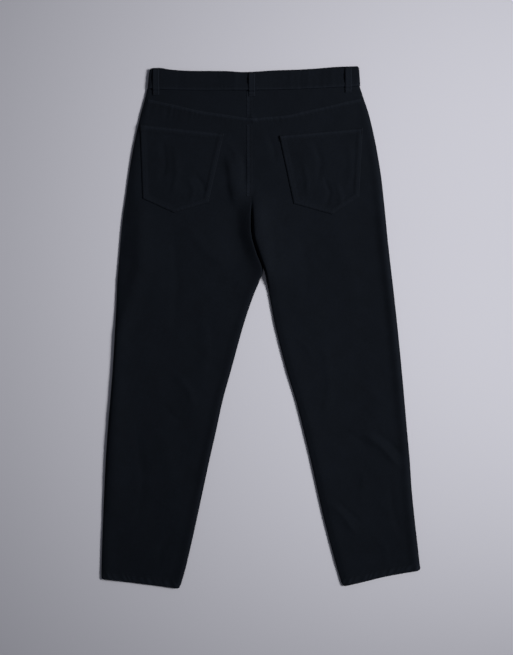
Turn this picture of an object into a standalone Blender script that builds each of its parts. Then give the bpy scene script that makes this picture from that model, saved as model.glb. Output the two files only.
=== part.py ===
"""Tapered five-pocket jeans, laid flat and face down, so the seat and the back pockets are on top.

The jeans lie on the plane z = 0 with the waist towards +Y. Each leg is a flattened tube: a front
panel lies on the ground, a back panel lies on it, and both round over to a side seam and an inseam
at mid height. The yokes close the back at the top, and one waistband runs round the waist as a
flattened loop, with its two ends lapped over a button at the front. Sizes are in millimetres and
become metres where vertices are placed.
"""

import math
from typing import NamedTuple

import bmesh
import bpy
from mathutils import Vector

MM = 0.001

# Cloth and seams
CLOTH = 1.5
SEAM_GAP = 0.3
LEG_GAP = 0.5
BAND_GAP = 0.4
EDGE_HEIGHT = 3.3
EDGE_RADIUS = 4.0
EDGE_SAG = 0.7
ARC_ANGLES = (0.0, 35.0, 65.0)

# Hems
HEM_DEPTH = 16.0
HEM_STEP = 1.5
HEM_CLOTH = 2.4
HEM_RISE = 0.4
HEM_CORNER = 4.0

# Fork, where the centre back seam parts into the two inseams
FORK_TOP = 260.0
FORK_BOTTOM = 192.0
SLOPE_TOP = 290.0
SLOPE_FULL = 235.0
SLOPE_LOW = 120.0
SLOPE_END = 60.0
SLOPE_REACH = 15.0
CENTRE_X = -17.8

# Waistband
BAND_CLOTH = 2.3
BAND_HEIGHT = 8.4
BAND_BUMP = 1.5
BAND_BUMP_FLAT = 12.0
BAND_BUMP_REACH = 62.0
BAND_RADIUS = 4.2
BAND_CORNER = 2.5
BAND_DIP = 2.0
BAND_ROWS = 5
BAND_COLUMNS = 30
LEAN_LEFT = 4.0
LEAN_RIGHT = 2.5
LEAN_REACH = 90.0
LAP_GAP = 0.3
OUTER_LAP_END = 5.0
INNER_LAP_END = -52.0
LAP_RISE_START = 40.0
LAP_RISE_END = 12.0

# Button, under the lapped ends of the waistband
BUTTON_X = -30.0
BUTTON_RADIUS = 8.5
BUTTON_HEIGHT = 2.0
BUTTON_EDGE = 0.6
BUTTON_FLAT = 11.0
BUTTON_REACH = 30.0
BUTTON_REACH_Y = 18.0
BUTTON_SIDES = 28

# Fly shield
FLY_LEFT = -48.0
FLY_RIGHT = -8.0
FLY_LENGTH = 150.0
FLY_CURVE = 26.0
FLY_HEIGHT = 1.9
FLY_CLOTH = 1.3

# Back pockets
POCKET_HEM = 13.0
POCKET_HEM_STEP = 1.2
POCKET_HEM_RISE = 0.8

# Rows of the panels: the stretch up the leg that each spacing serves, from the hem
BACK_LENGTH = 950.0
BACK_SPACINGS = ((540.0, 26.0), (830.0, 15.0), (BACK_LENGTH, 24.0))
FRONT_LENGTH = 970.0
FRONT_SPACINGS = ((600.0, 50.0), (790.0, 14.0), (FRONT_LENGTH, 60.0))
YOKE_ROWS = (0.0, 0.33, 0.67, 1.0)

# Belt loops
LOOP_TOP_INSET = 0.6
LOOP_WIDTH = 12.5
LOOP_CLOTH = 1.8
LOOP_CLEAR = 0.4
LOOP_STEP = 4.0
LOOP_BELOW_BAND = 12.5


class LegRow(NamedTuple):
    """Where the two edges of a leg run and how high its upper cloth lies, at one height y."""

    y: float
    outer: float
    inner: float
    crown: float


class BandRow(NamedTuple):
    """Lower seam and top edge of the waistband's back at one place x."""

    x: float
    seam: float
    top: float


class CurveRow(NamedTuple):
    """One point of a seam that runs across the garment."""

    x: float
    y: float


class Fold(NamedTuple):
    """A soft ridge, or a trough where the rise is negative, between two points."""

    x0: float
    y0: float
    x1: float
    y1: float
    half_width: float
    rise: float


class PocketShape(NamedTuple):
    """The five corners of a patch pocket, clockwise from the upper left."""

    name: str
    upper_left: tuple
    upper_right: tuple
    lower_right: tuple
    point: tuple
    lower_left: tuple


class LoopPlace(NamedTuple):
    """Where a belt loop crosses the waistband."""

    name: str
    x: float


LEFT_ROWS = (
    LegRow(-525.0, -318.6, -162.6, 6.5),
    LegRow(-475.0, -318.4, -148.4, 6.5),
    LegRow(-385.0, -315.4, -128.0, 6.6),
    LegRow(-265.0, -310.2, -102.2, 6.6),
    LegRow(-205.0, -306.2, -88.6, 6.6),
    LegRow(-145.0, -301.2, -75.6, 6.6),
    LegRow(-85.0, -296.4, -59.0, 6.7),
    LegRow(5.0, -291.0, -34.2, 6.7),
    LegRow(65.0, -288.0, -14.0, 6.8),
    LegRow(95.0, -286.8, -1.4, 6.8),
    LegRow(115.0, -285.2, 4.6, 6.8),
    LegRow(151.0, -282.2, -7.8, 6.9),
    LegRow(183.0, -279.6, -16.8, 6.9),
    LegRow(225.0, -275.2, -19.0, 6.9),
    LegRow(265.0, -269.4, -17.8, 6.9),
    LegRow(305.0, -264.0, -17.8, 6.9),
    LegRow(365.0, -253.8, -17.8, 6.9),
    LegRow(425.0, -240.4, -17.8, 6.9),
    LegRow(457.0, -231.8, -17.8, 6.9),
    LegRow(480.0, -226.4, -17.8, 6.9),
)

RIGHT_ROWS = (
    LegRow(-520.0, 321.4, 163.4, 6.5),
    LegRow(-475.0, 317.6, 149.8, 6.5),
    LegRow(-385.0, 307.4, 126.0, 6.6),
    LegRow(-325.0, 301.4, 112.2, 6.6),
    LegRow(-265.0, 297.4, 99.0, 6.6),
    LegRow(-205.0, 292.0, 84.4, 6.6),
    LegRow(-145.0, 286.8, 69.0, 6.6),
    LegRow(-85.0, 281.4, 50.6, 6.7),
    LegRow(5.0, 272.6, 27.6, 6.7),
    LegRow(65.0, 266.0, 16.2, 6.8),
    LegRow(95.0, 262.6, 10.0, 6.8),
    LegRow(115.0, 260.2, 5.6, 6.8),
    LegRow(151.0, 256.0, -7.8, 6.9),
    LegRow(183.0, 252.6, -16.8, 6.9),
    LegRow(225.0, 248.6, -19.0, 6.9),
    LegRow(265.0, 244.4, -17.8, 6.9),
    LegRow(305.0, 239.8, -17.8, 6.9),
    LegRow(365.0, 229.6, -17.8, 6.9),
    LegRow(425.0, 216.0, -17.8, 6.9),
    LegRow(457.0, 205.4, -17.8, 6.9),
    LegRow(480.0, 198.0, -17.8, 6.9),
)

LEFT_HEM = (
    CurveRow(-318.6, -502.0),
    CurveRow(-240.0, -511.6),
    CurveRow(-160.0, -521.6),
)

RIGHT_HEM = (
    CurveRow(163.0, -517.0),
    CurveRow(201.0, -508.6),
    CurveRow(250.0, -497.0),
    CurveRow(319.0, -484.0),
)

YOKE_SEAM = (
    CurveRow(-233.0, 456.0),
    CurveRow(-172.0, 443.0),
    CurveRow(-125.0, 432.0),
    CurveRow(-72.0, 424.0),
    CurveRow(-17.8, 416.5),
    CurveRow(6.0, 419.0),
    CurveRow(54.0, 423.0),
    CurveRow(84.0, 430.0),
    CurveRow(126.0, 439.5),
    CurveRow(206.0, 458.0),
)

BAND_SEAM = (
    BandRow(-226.5, 478.0, 517.0),
    BandRow(-205.0, 476.4, 518.4),
    BandRow(-184.0, 475.4, 515.2),
    BandRow(-144.0, 474.4, 512.6),
    BandRow(-72.0, 474.2, 512.0),
    BandRow(-38.0, 474.2, 509.8),
    BandRow(-8.0, 474.4, 510.8),
    BandRow(24.0, 475.0, 513.2),
    BandRow(72.0, 476.2, 514.8),
    BandRow(104.0, 477.6, 516.6),
    BandRow(152.0, 480.2, 520.2),
    BandRow(198.5, 482.4, 521.8),
)

FOLDS = (
    Fold(-1.0, 250.0, 14.0, 100.0, 9.0, 1.0),
    Fold(-50.0, 296.0, -34.0, 246.0, 15.0, 1.8),
    Fold(-66.0, 312.0, -60.0, 256.0, 9.0, -1.0),
    Fold(-212.0, 250.0, -214.0, 5.0, 24.0, 1.1),
    Fold(-256.0, -10.0, -290.0, -420.0, 18.0, 0.9),
    Fold(-96.0, 86.0, -44.0, 88.0, 9.0, -0.8),
    Fold(-172.0, -95.0, -120.0, -175.0, 17.0, 0.9),
    Fold(-200.0, -210.0, -170.0, -330.0, 16.0, 0.8),
    Fold(206.0, -208.0, 276.0, -274.0, 12.0, 1.3),
    Fold(140.0, -350.0, 190.0, -408.0, 12.0, 1.2),
    Fold(206.0, -40.0, 236.0, -190.0, 18.0, 0.8),
    Fold(60.0, 180.0, 40.0, 60.0, 16.0, 0.8),
    Fold(150.0, 200.0, 196.0, 30.0, 20.0, 0.8),
    Fold(10.0, 372.0, 34.0, 320.0, 13.0, 0.9),
    Fold(-120.0, -420.0, -190.0, -452.0, 14.0, 0.7),
)

POCKETS = (
    PocketShape("back_pocket_left", (-239.0, 405.4), (-73.8, 387.4), (-104.8, 249.4),
                (-173.8, 229.4), (-231.8, 257.4)),
    PocketShape("back_pocket_right", (36.2, 383.4), (203.2, 398.2), (196.2, 261.4),
                (142.2, 226.0), (65.2, 247.4)),
)

LOOPS = (
    LoopPlace("belt_loop_left", -209.4),
    LoopPlace("belt_loop_back", -18.2),
    LoopPlace("belt_loop_right", 174.4),
)

# Shares of a leg's width where the columns of the flat stretch lie
BACK_COLUMNS = (0.0, 0.035, 0.09, 0.17, 0.26, 0.36, 0.46, 0.56, 0.65, 0.74, 0.82, 0.89, 0.95, 1.0)
FRONT_COLUMNS = (0.0, 0.15, 0.32, 0.5, 0.68, 0.85, 1.0)
YOKE_COLUMNS = (0.0, 0.06, 0.18, 0.32, 0.46, 0.6, 0.74, 0.88, 1.0)


def table_value(rows, key, column, at):
    """Read a smooth curve through one column of a table, straight beyond its ends."""
    places = [getattr(row, key) for row in rows]
    values = [getattr(row, column) for row in rows]
    last = len(rows) - 1
    slopes = []
    for index in range(len(rows)):
        low = max(index - 1, 0)
        high = min(index + 1, last)
        slopes.append((values[high] - values[low]) / (places[high] - places[low]))
    if at <= places[0]:
        return values[0] + slopes[0] * (at - places[0])
    if at >= places[last]:
        return values[last] + slopes[last] * (at - places[last])
    index = max(i for i in range(last) if places[i] <= at)
    span = places[index + 1] - places[index]
    t = (at - places[index]) / span
    rise = values[index] * (1 + 2 * t) * (1 - t) ** 2
    rise += slopes[index] * span * t * (1 - t) ** 2
    rise += values[index + 1] * t * t * (3 - 2 * t)
    rise += slopes[index + 1] * span * t * t * (t - 1)
    return rise


def smooth_step(start, end, at):
    """Go softly from 0 at start to 1 at end."""
    t = min(max((at - start) / (end - start), 0.0), 1.0)
    return t * t * (3 - 2 * t)


def blend(low, high, share):
    """Mix two values."""
    return low + (high - low) * share


def fold_rise(x, y):
    """Height that the folds add at a point."""
    rise = 0.0
    for fold in FOLDS:
        along_x = fold.x1 - fold.x0
        along_y = fold.y1 - fold.y0
        t = ((x - fold.x0) * along_x + (y - fold.y0) * along_y) / (along_x ** 2 + along_y ** 2)
        nearest = min(max(t, 0.0), 1.0)
        away_x = x - fold.x0 - along_x * nearest
        away_y = y - fold.y0 - along_y * nearest
        distance = math.hypot(away_x, away_y) / fold.half_width
        fade = smooth_step(-0.12, 0.3, t) * smooth_step(1.12, 0.7, t)
        rise += fold.rise * fade * math.exp(-distance * distance)
    return rise


class Leg:
    """One half of the jeans: its edges, its hem and the height of its upper cloth."""

    def __init__(self, name, rows, hem, slope_reach):
        self.name = name
        self.rows = rows
        self.hem_rows = hem
        self.slope_reach = slope_reach
        self.inward = math.copysign(1.0, rows[0].inner - rows[0].outer)

    def outer(self, y):
        """Side seam at height y."""
        return table_value(self.rows, "y", "outer", y)

    def inner(self, y):
        """Inseam, or centre seam above the fork, set back from the true line by half the gap."""
        gap = SEAM_GAP / 2 + LEG_GAP * fork_share(y)
        return table_value(self.rows, "y", "inner", y) - self.inward * gap

    def hem(self, x):
        """Lower end of the leg at x."""
        return table_value(self.hem_rows, "x", "y", x)

    def inner_radius(self, y):
        """How far the cloth rounds over at the inseam, wider beside the fork."""
        wide = smooth_step(SLOPE_TOP, SLOPE_FULL, y) * smooth_step(SLOPE_END, SLOPE_LOW, y)
        return EDGE_RADIUS + self.slope_reach * wide

    def top(self, x, y):
        """Height of the upper cloth's face, before it rounds over at the edges."""
        outer = self.outer(y)
        across = (x - outer) / (self.inner(y) - outer)
        sag = EDGE_SAG * (2 * across - 1) ** 4 * (1.0 if across < 0.5 else fork_share(y))
        return table_value(self.rows, "y", "crown", y) - sag + fold_rise(x, y)


LEFT = Leg("left", LEFT_ROWS, LEFT_HEM, SLOPE_REACH)
RIGHT = Leg("right", RIGHT_ROWS, RIGHT_HEM, 1.0)


def fork_share(y):
    """0 where the halves meet in a centre seam, 1 where each leg closes in its own inseam."""
    return smooth_step(FORK_TOP, FORK_BOTTOM, y)


def yoke_seam(x):
    return table_value(YOKE_SEAM, "x", "y", x)


def band_seam(x):
    return table_value(BAND_SEAM, "x", "seam", x)


def band_top(x):
    return table_value(BAND_SEAM, "x", "top", x)


def front_dip(x):
    """How much lower the waist lies at the front than at the back."""
    side = BAND_SEAM[0].x if x < CENTRE_X else BAND_SEAM[-1].x
    share = min(max((x - side) / (CENTRE_X - side), 0.0), 1.0)
    return BAND_DIP * math.sin(share * math.pi / 2) ** 2


def row_between(low, high, share):
    """A curve across the leg that lies between two others."""
    return lambda x: blend(low(x), high(x), share)


def edge_point(edge, curve, start):
    """Where a curve across the leg crosses an edge that runs along it."""
    y = start
    for _ in range(8):
        y = curve(edge(y))
    return edge(y), y


class Station(NamedTuple):
    """One column of a cloth section: on the outer arc, on the flat, or on the inner arc."""

    part: str
    value: float


def stations(shares):
    """The columns of a section from the side seam to the inseam."""
    columns = [Station("outer", angle) for angle in ARC_ANGLES]
    columns += [Station("flat", share) for share in shares]
    columns += [Station("inner", angle) for angle in reversed(ARC_ANGLES)]
    return columns


def section(leg, curve, columns, cloth, corner, upper, rise):
    """Outer and inner points of one row of a panel, from the side seam to the inseam.

    An upper panel's arcs fall from its top to the seams. A lower panel's arcs climb from the ground.
    """
    outer_x, outer_y = edge_point(leg.outer, curve, curve(leg.rows[0].outer))
    inner_x, inner_y = edge_point(leg.inner, curve, curve(CENTRE_X))
    inner_radius = leg.inner_radius(inner_y)
    share = fork_share(inner_y)
    seam = EDGE_HEIGHT + SEAM_GAP / 2 if upper else EDGE_HEIGHT - SEAM_GAP / 2
    facing = 1.0 if upper else -1.0
    points = []
    for column in columns:
        angle = math.radians(column.value)
        side = 0.0
        turn = 0.0
        if column.part == "outer":
            x = outer_x + leg.inward * EDGE_RADIUS * (1 - math.cos(angle))
            side = -leg.inward
            turn = 1.0
            radius = EDGE_RADIUS
        elif column.part == "inner":
            x = inner_x - leg.inward * inner_radius * (1 - math.cos(angle))
            side = leg.inward
            turn = share
            radius = inner_radius
        else:
            start = outer_x + leg.inward * EDGE_RADIUS
            end = inner_x - leg.inward * inner_radius
            x = blend(start, end, column.value)
        y = curve(x)
        top = leg.top(x, y) + rise if upper else 0.0
        z = top
        normal = Vector((0.0, 0.0, facing))
        if side:
            drop = turn * abs(top - seam)
            z = top - facing * drop * (1 - math.sin(angle))
            if column.value == 0.0:
                bend = turn * math.pi / 2
                normal = Vector((side * math.sin(bend), 0.0, facing * math.cos(bend)))
            elif drop > 0.0:
                normal = Vector((side * math.cos(angle) / radius, 0.0,
                                 facing * math.sin(angle) / drop)).normalized()
            y += corner * turn * (1 - math.sin(angle))
        outside = Vector((x, y, z))
        points.append((outside, outside - normal * cloth))
    return points


def grid_solid(name, rows, material):
    """Close a grid of outer and inner points into one wall.

    The grid is made flat, extruded for the second side, and each vertex moves to its own point.
    """
    height = len(rows)
    width = len(rows[0])
    shape = bmesh.new()
    bmesh.ops.create_grid(shape, x_segments=width - 1, y_segments=height - 1, size=1.0)
    row_of = shape.verts.layers.int.new("row")
    column_of = shape.verts.layers.int.new("column")
    for vertex in shape.verts:
        vertex[column_of] = round((vertex.co.x + 1) / 2 * (width - 1))
        vertex[row_of] = round((vertex.co.y + 1) / 2 * (height - 1))
        vertex.co = rows[vertex[row_of]][vertex[column_of]][0] * MM
    bmesh.ops.triangulate(shape, faces=shape.faces[:])
    surface = shape.copy()
    grown = bmesh.ops.extrude_face_region(shape, geom=shape.faces[:])
    for vertex in grown["geom"]:
        if isinstance(vertex, bmesh.types.BMVert):
            vertex.co = rows[vertex[row_of]][vertex[column_of]][1] * MM
    finish_solid(name, shape, material)
    return surface


def finish_solid(name, shape, material):
    """Turn a closed shape into an object with faces that point out."""
    bmesh.ops.triangulate(shape, faces=shape.faces[:])
    bmesh.ops.recalc_face_normals(shape, faces=shape.faces[:])
    mesh = bpy.data.meshes.new(name)
    shape.to_mesh(mesh)
    shape.free()
    mesh.shade_smooth()
    mesh.set_sharp_from_angle(angle=math.radians(40))
    mesh.materials.append(material)
    solid = bpy.data.objects.new(name, mesh)
    bpy.context.scene.collection.objects.link(solid)
    return solid


def principled(name, colour, roughness, metallic):
    """A plain material with the piece's own colour."""
    material = bpy.data.materials.new(name)
    material.use_nodes = True
    shader = material.node_tree.nodes["Principled BSDF"]
    shader.inputs["Base Color"].default_value = (*colour, 1.0)
    shader.inputs["Roughness"].default_value = roughness
    shader.inputs["Metallic"].default_value = metallic
    return material


def denim(name):
    """Black denim for one piece."""
    return principled(name, (0.0065, 0.0075, 0.0105), 0.85, 0.0)


def row_places(length, spacings):
    """Distances from the hem to each row, with a spacing for each stretch up the leg."""
    places = [0.0, HEM_DEPTH, HEM_DEPTH + HEM_STEP]
    for end, spacing in spacings:
        count = max(round((end - places[-1]) / spacing), 1)
        start = places[-1]
        places += [blend(start, end, (i + 1) / count) for i in range(count)]
    return [place / length for place in places]


def leg_panel(name, leg, upper, top_curve, shares, spacings, length):
    """A front or back panel from its hem to the seam at its top."""
    rows = []
    columns = stations(shares)
    for place in row_places(length, spacings):
        in_hem = place * length <= HEM_DEPTH
        curve = row_between(leg.hem, top_curve, place)
        rows.append(section(leg, curve, columns,
                            HEM_CLOTH if in_hem else CLOTH,
                            HEM_CORNER if place == 0.0 else 0.0,
                            upper,
                            HEM_RISE if in_hem else 0.0))
    return grid_solid(name, rows, denim(name))


def back_panel(leg):
    """The upper panel of a leg, with close rows beside the fork."""
    return leg_panel(f"back_panel_{leg.name}", leg, True, lambda x: yoke_seam(x) - SEAM_GAP / 2,
                     BACK_COLUMNS, BACK_SPACINGS, BACK_LENGTH)


def front_panel(leg):
    """The lower panel of a leg, flat on the ground between its edges."""
    return leg_panel(f"front_panel_{leg.name}", leg, False,
                     lambda x: band_seam(x) - front_dip(x) - BAND_GAP,
                     FRONT_COLUMNS, FRONT_SPACINGS, FRONT_LENGTH)


def yoke(leg):
    """The piece between a back panel and the waistband."""
    columns = stations(YOKE_COLUMNS)
    rows = []
    for share in YOKE_ROWS:
        curve = row_between(lambda x: yoke_seam(x) + SEAM_GAP / 2,
                            lambda x: band_seam(x) - BAND_GAP, share)
        rows.append(section(leg, curve, columns, CLOTH, 0.0, True, 0.0))
    return grid_solid(f"yoke_{leg.name}", rows, denim(f"yoke_{leg.name}"))


def button_lift(x, y):
    """How far the button holds the lapped ends of the waistband off the ground."""
    beside = smooth_step(BUTTON_REACH, BUTTON_FLAT, abs(x - BUTTON_X))
    above = smooth_step(BUTTON_REACH_Y, BUTTON_RADIUS, abs(y - button_y()))
    return (BUTTON_HEIGHT + SEAM_GAP) * beside * above


def button_y():
    """Middle of the waistband's front at the button."""
    return (band_seam(BUTTON_X) + band_top(BUTTON_X)) / 2 - front_dip(BUTTON_X)


def band_height(x):
    """Height of the waistband's upper face, over the lapped ends and the button."""
    return BAND_HEIGHT + BAND_BUMP * smooth_step(BAND_BUMP_REACH, BAND_BUMP_FLAT, abs(x - BUTTON_X))


def waistband():
    """One strip round the waist, from the outer lap by way of the left side to the inner lap."""
    left = BAND_SEAM[0]
    right = BAND_SEAM[-1]
    middle = BAND_HEIGHT / 2
    arc = (-90, -60, -30, 0, 30, 60, 90)
    path = []
    flat_left = left.x + BAND_RADIUS
    flat_right = right.x - BAND_RADIUS
    for index in range(BAND_COLUMNS // 2 + 1):
        path.append(("front", blend(OUTER_LAP_END, flat_left, index / (BAND_COLUMNS // 2)), 0.0))
    path += [("left", 0.0, angle) for angle in arc[1:-1]]
    for index in range(BAND_COLUMNS + 1):
        path.append(("back", blend(flat_left, flat_right, index / BAND_COLUMNS), 0.0))
    path += [("right", 0.0, angle) for angle in reversed(arc[1:-1])]
    for place in (flat_right, 140.0, 90.0, LAP_RISE_START, 33.0, 26.0, 19.0, LAP_RISE_END, 4.0,
                  -4.0, -12.0, -20.0, -28.0, -36.0, -44.0, INNER_LAP_END):
        path.append(("lap", place, 0.0))
    rows = []
    for index in range(BAND_ROWS):
        share = index / (BAND_ROWS - 1)
        line = []
        for part, place, angle in path:
            bend = math.radians(angle)
            x = place
            z = 0.0
            corner = 0.0
            normal = Vector((0.0, 0.0, -1.0))
            if part == "back":
                z = band_height(x)
                normal = Vector((0.0, 0.0, 1.0))
            elif part in ("left", "right"):
                side = -1.0 if part == "left" else 1.0
                base = flat_left if part == "left" else flat_right
                x = base + side * BAND_RADIUS * math.cos(bend)
                z = middle + middle * math.sin(bend)
                normal = Vector((side * math.cos(bend) / BAND_RADIUS, 0.0,
                                 math.sin(bend) / middle)).normalized()
                corner = BAND_CORNER * math.cos(bend) ** 2 * (share == 1.0)
            dip = front_dip(x) if part in ("front", "lap") else 0.0
            y = blend(band_seam(x), band_top(x), share) - dip - corner
            lean = LEAN_LEFT * share * smooth_step(LEAN_REACH, 0.0, abs(x - left.x))
            lean -= LEAN_RIGHT * share * smooth_step(LEAN_REACH, 0.0, abs(x - right.x))
            if part in ("front", "lap"):
                z = button_lift(x, y)
            if part == "lap":
                z += (BAND_CLOTH + LAP_GAP) * smooth_step(LAP_RISE_START, LAP_RISE_END, x)
            outside = Vector((x + lean, y, z))
            line.append((outside, outside - normal * BAND_CLOTH))
        rows.append(line)
    return grid_solid("waistband", rows, denim("waistband"))


def patch_pocket(shape, leg, surface):
    """A pocket cut from the panel's own upper face, moved out and thickened."""
    corners = (shape.upper_left, shape.upper_right, shape.lower_right, shape.point, shape.lower_left)
    patch = surface.copy()
    for start, end in zip(corners, corners[1:] + corners[:1]):
        outward = Vector((start[1] - end[1], end[0] - start[0], 0.0)).normalized()
        cut(patch, Vector((*start, 0.0)) * MM, outward, True)
    across = Vector((shape.upper_right[0] - shape.upper_left[0],
                     shape.upper_right[1] - shape.upper_left[1], 0.0))
    down = Vector((across.y, -across.x, 0.0)).normalized()
    top_corner = Vector((*shape.upper_left, 0.0))
    for depth in (POCKET_HEM, POCKET_HEM + POCKET_HEM_STEP):
        cut(patch, (top_corner + down * depth) * MM, down, False)
    bmesh.ops.triangulate(patch, faces=patch.faces[:])
    for vertex in patch.verts:
        vertex.co.z += SEAM_GAP * MM
    grown = bmesh.ops.extrude_face_region(patch, geom=patch.faces[:])
    for vertex in grown["geom"]:
        if isinstance(vertex, bmesh.types.BMVert):
            depth = (vertex.co / MM - top_corner).dot(down)
            in_hem = smooth_step(POCKET_HEM + POCKET_HEM_STEP, POCKET_HEM, depth)
            vertex.co.z += (CLOTH + POCKET_HEM_RISE * in_hem) * MM
    return finish_solid(shape.name, patch, denim(shape.name))


def cut(patch, place, direction, clear):
    """Cut a patch along an upright plane, and drop what lies beyond it where asked."""
    bmesh.ops.bisect_plane(patch, geom=patch.verts[:] + patch.edges[:] + patch.faces[:],
                           dist=1e-7, plane_co=place, plane_no=direction, clear_outer=clear)


def belt_loop(place, leg):
    """A strip that lies over the waistband and is caught down on the yoke below it."""
    seam = band_seam(place.x)
    top = band_top(place.x) - LOOP_TOP_INSET
    bottom = seam - LOOP_BELOW_BAND
    sides = (-LOOP_WIDTH / 2, 0.0, LOOP_WIDTH / 2)
    over = max(band_height(place.x + side) for side in sides) + LOOP_CLEAR
    heights = (bottom, seam - LOOP_STEP - 3.0, seam - LOOP_STEP, seam - SEAM_GAP * 2,
               blend(seam, top, 0.35), blend(seam, top, 0.7), top)
    rows = []
    for y in heights:
        line = []
        for side in sides:
            x = place.x + side
            low = leg.top(x, min(y, seam - LOOP_STEP)) + LOOP_CLEAR
            z = blend(low, over, smooth_step(seam - LOOP_STEP, seam - SEAM_GAP * 2, y))
            base = Vector((x, y, z))
            line.append((base + Vector((0.0, 0.0, LOOP_CLOTH)), base))
        rows.append(line)
    return grid_solid(place.name, rows, denim(place.name))


def fly_shield():
    """The strip inside the front that backs the fly, with its lower corner rounded."""
    top = band_seam(CENTRE_X) - front_dip(CENTRE_X) - BAND_GAP
    bottom = top - FLY_LENGTH
    outline = [(FLY_LEFT, top), (FLY_RIGHT, top), (FLY_RIGHT, bottom)]
    for step in range(7):
        turn = math.radians(90 + 15 * step)
        outline.append((FLY_LEFT + FLY_CURVE + FLY_CURVE * math.cos(turn),
                        bottom + FLY_CURVE - FLY_CURVE * math.sin(turn)))
    shape = bmesh.new()
    corners = [shape.verts.new(Vector((x, y, FLY_HEIGHT)) * MM) for x, y in outline]
    face = shape.faces.new(corners)
    grown = bmesh.ops.extrude_face_region(shape, geom=[face])
    raised = [item for item in grown["geom"] if isinstance(item, bmesh.types.BMVert)]
    bmesh.ops.translate(shape, verts=raised, vec=Vector((0.0, 0.0, FLY_CLOTH)) * MM)
    return finish_solid("fly_shield", shape, denim("fly_shield"))


def waist_button():
    """A flat metal button between the ground and the lapped ends of the waistband."""
    shape = bmesh.new()
    radius = BUTTON_RADIUS * MM
    bmesh.ops.create_cone(shape, cap_ends=True, segments=BUTTON_SIDES, radius1=radius,
                          radius2=radius, depth=BUTTON_HEIGHT * MM)
    rims = [edge for edge in shape.edges if len({round(v.co.z, 6) for v in edge.verts}) == 1]
    bmesh.ops.bevel(shape, geom=rims, offset=BUTTON_EDGE * MM, offset_type="OFFSET", segments=2,
                    profile=0.5, affect="EDGES", material=-1)
    place = Vector((BUTTON_X, button_y(), BUTTON_HEIGHT / 2)) * MM
    bmesh.ops.translate(shape, verts=shape.verts[:], vec=place)
    return finish_solid("waist_button", shape, principled("waist_button", (0.07, 0.07, 0.075), 0.35, 1.0))


def clear_scene():
    """Remove what the scene starts with."""
    for item in list(bpy.data.objects):
        bpy.data.objects.remove(item, do_unlink=True)


def main():
    clear_scene()
    waistband().free()
    waist_button()
    fly_shield()
    for leg, pocket in ((LEFT, POCKETS[0]), (RIGHT, POCKETS[1])):
        front_panel(leg).free()
        yoke(leg).free()
        surface = back_panel(leg)
        patch_pocket(pocket, leg, surface)
        surface.free()
    belt_loop(LOOPS[0], LEFT).free()
    belt_loop(LOOPS[1], LEFT).free()
    belt_loop(LOOPS[2], RIGHT).free()


main()
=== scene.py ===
"""Black tapered jeans laid flat and face down on a pale floor, seen from straight above.

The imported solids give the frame. Each cloth solid is replaced by a fine thin shell on the same form,
with the folds, felled seams, hems and stitching that the solids leave out. Tables are in millimetres
and become metres where vertices are placed. Left and right are the viewer's.
"""

import logging
import math
from dataclasses import dataclass, field
from enum import Enum
from typing import Callable, Sequence

import bmesh
import bpy
import numpy as np
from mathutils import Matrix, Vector


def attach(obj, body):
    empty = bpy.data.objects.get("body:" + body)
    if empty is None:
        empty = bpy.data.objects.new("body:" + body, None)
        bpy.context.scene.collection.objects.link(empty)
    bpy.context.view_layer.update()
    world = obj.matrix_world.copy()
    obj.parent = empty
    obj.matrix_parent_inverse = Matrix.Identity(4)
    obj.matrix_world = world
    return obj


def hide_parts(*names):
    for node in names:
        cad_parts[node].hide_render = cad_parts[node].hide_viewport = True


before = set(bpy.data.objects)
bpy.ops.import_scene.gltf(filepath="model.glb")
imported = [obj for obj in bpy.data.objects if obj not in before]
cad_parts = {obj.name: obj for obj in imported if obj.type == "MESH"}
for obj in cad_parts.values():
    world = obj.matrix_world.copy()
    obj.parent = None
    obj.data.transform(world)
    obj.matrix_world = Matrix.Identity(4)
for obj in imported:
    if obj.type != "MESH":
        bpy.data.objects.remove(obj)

MM = 0.001
BODY = "root"
LOG = logging.getLogger("jeans")

Across = Callable[[np.ndarray], np.ndarray]
Surface = Callable[[np.ndarray, np.ndarray], np.ndarray]
Point = tuple[float, float]


class Slot(Enum):
    """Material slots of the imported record."""

    DENIM = "black_denim"


class Face(Enum):
    """Whether a panel is the upper one or the one on the ground."""

    UPPER = 1.0
    LOWER = -1.0


@dataclass(frozen=True)
class Sizes:
    """Driving sizes of the garment, in millimetres.

    Most of them are the solids' own. The edge radius is wider than theirs, and the tuck at the fork
    and the depths of the small creases are the fine cloth's alone.
    """

    cloth: float = 1.5
    seam_gap: float = 0.3
    leg_gap: float = 0.5
    band_gap: float = 0.4
    edge_height: float = 3.3
    edge_radius: float = 7.0
    edge_sag: float = 0.7
    leg_sag: float = 1.5
    hem_depth: float = 16.0
    hem_cloth: float = 2.4
    hem_rise: float = 0.4
    hem_corner: float = 4.0
    centre_x: float = -17.8
    fork_top: float = 260.0
    fork_bottom: float = 192.0
    tuck: float = 1.9
    tuck_drop: float = 1.7
    crease_depth: float = 1.9
    pocket_crease_depth: float = 2.4
    band_crease_depth: float = 1.7
    waviness: float = 1.5
    back_length: float = 950.0
    front_length: float = 970.0


SIZES = Sizes()


@dataclass(frozen=True)
class LegRow:
    """Where a leg's two edges run and how high its upper cloth lies, at one height y."""

    y: float
    outer: float
    inner: float
    crown: float


@dataclass(frozen=True)
class BandRow:
    """Lower seam and top edge of the waistband's back at one place x."""

    x: float
    seam: float
    top: float


@dataclass(frozen=True)
class Crease:
    """A soft ridge, or a trough where rise is negative, along a path.

    The flank on the path's left and the one on its right have their own widths, so that one side of
    a crease can be steep.
    """

    path: tuple[Point, ...]
    left: float
    right: float
    rise: float
    fade: float = 0.3


@dataclass(frozen=True)
class Pucker:
    """Ripples across a seam, as the thread draws the cloth in."""

    path: tuple[Point, ...]
    reach: float
    period: float
    rise: float
    slant: float = 0.0


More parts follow.
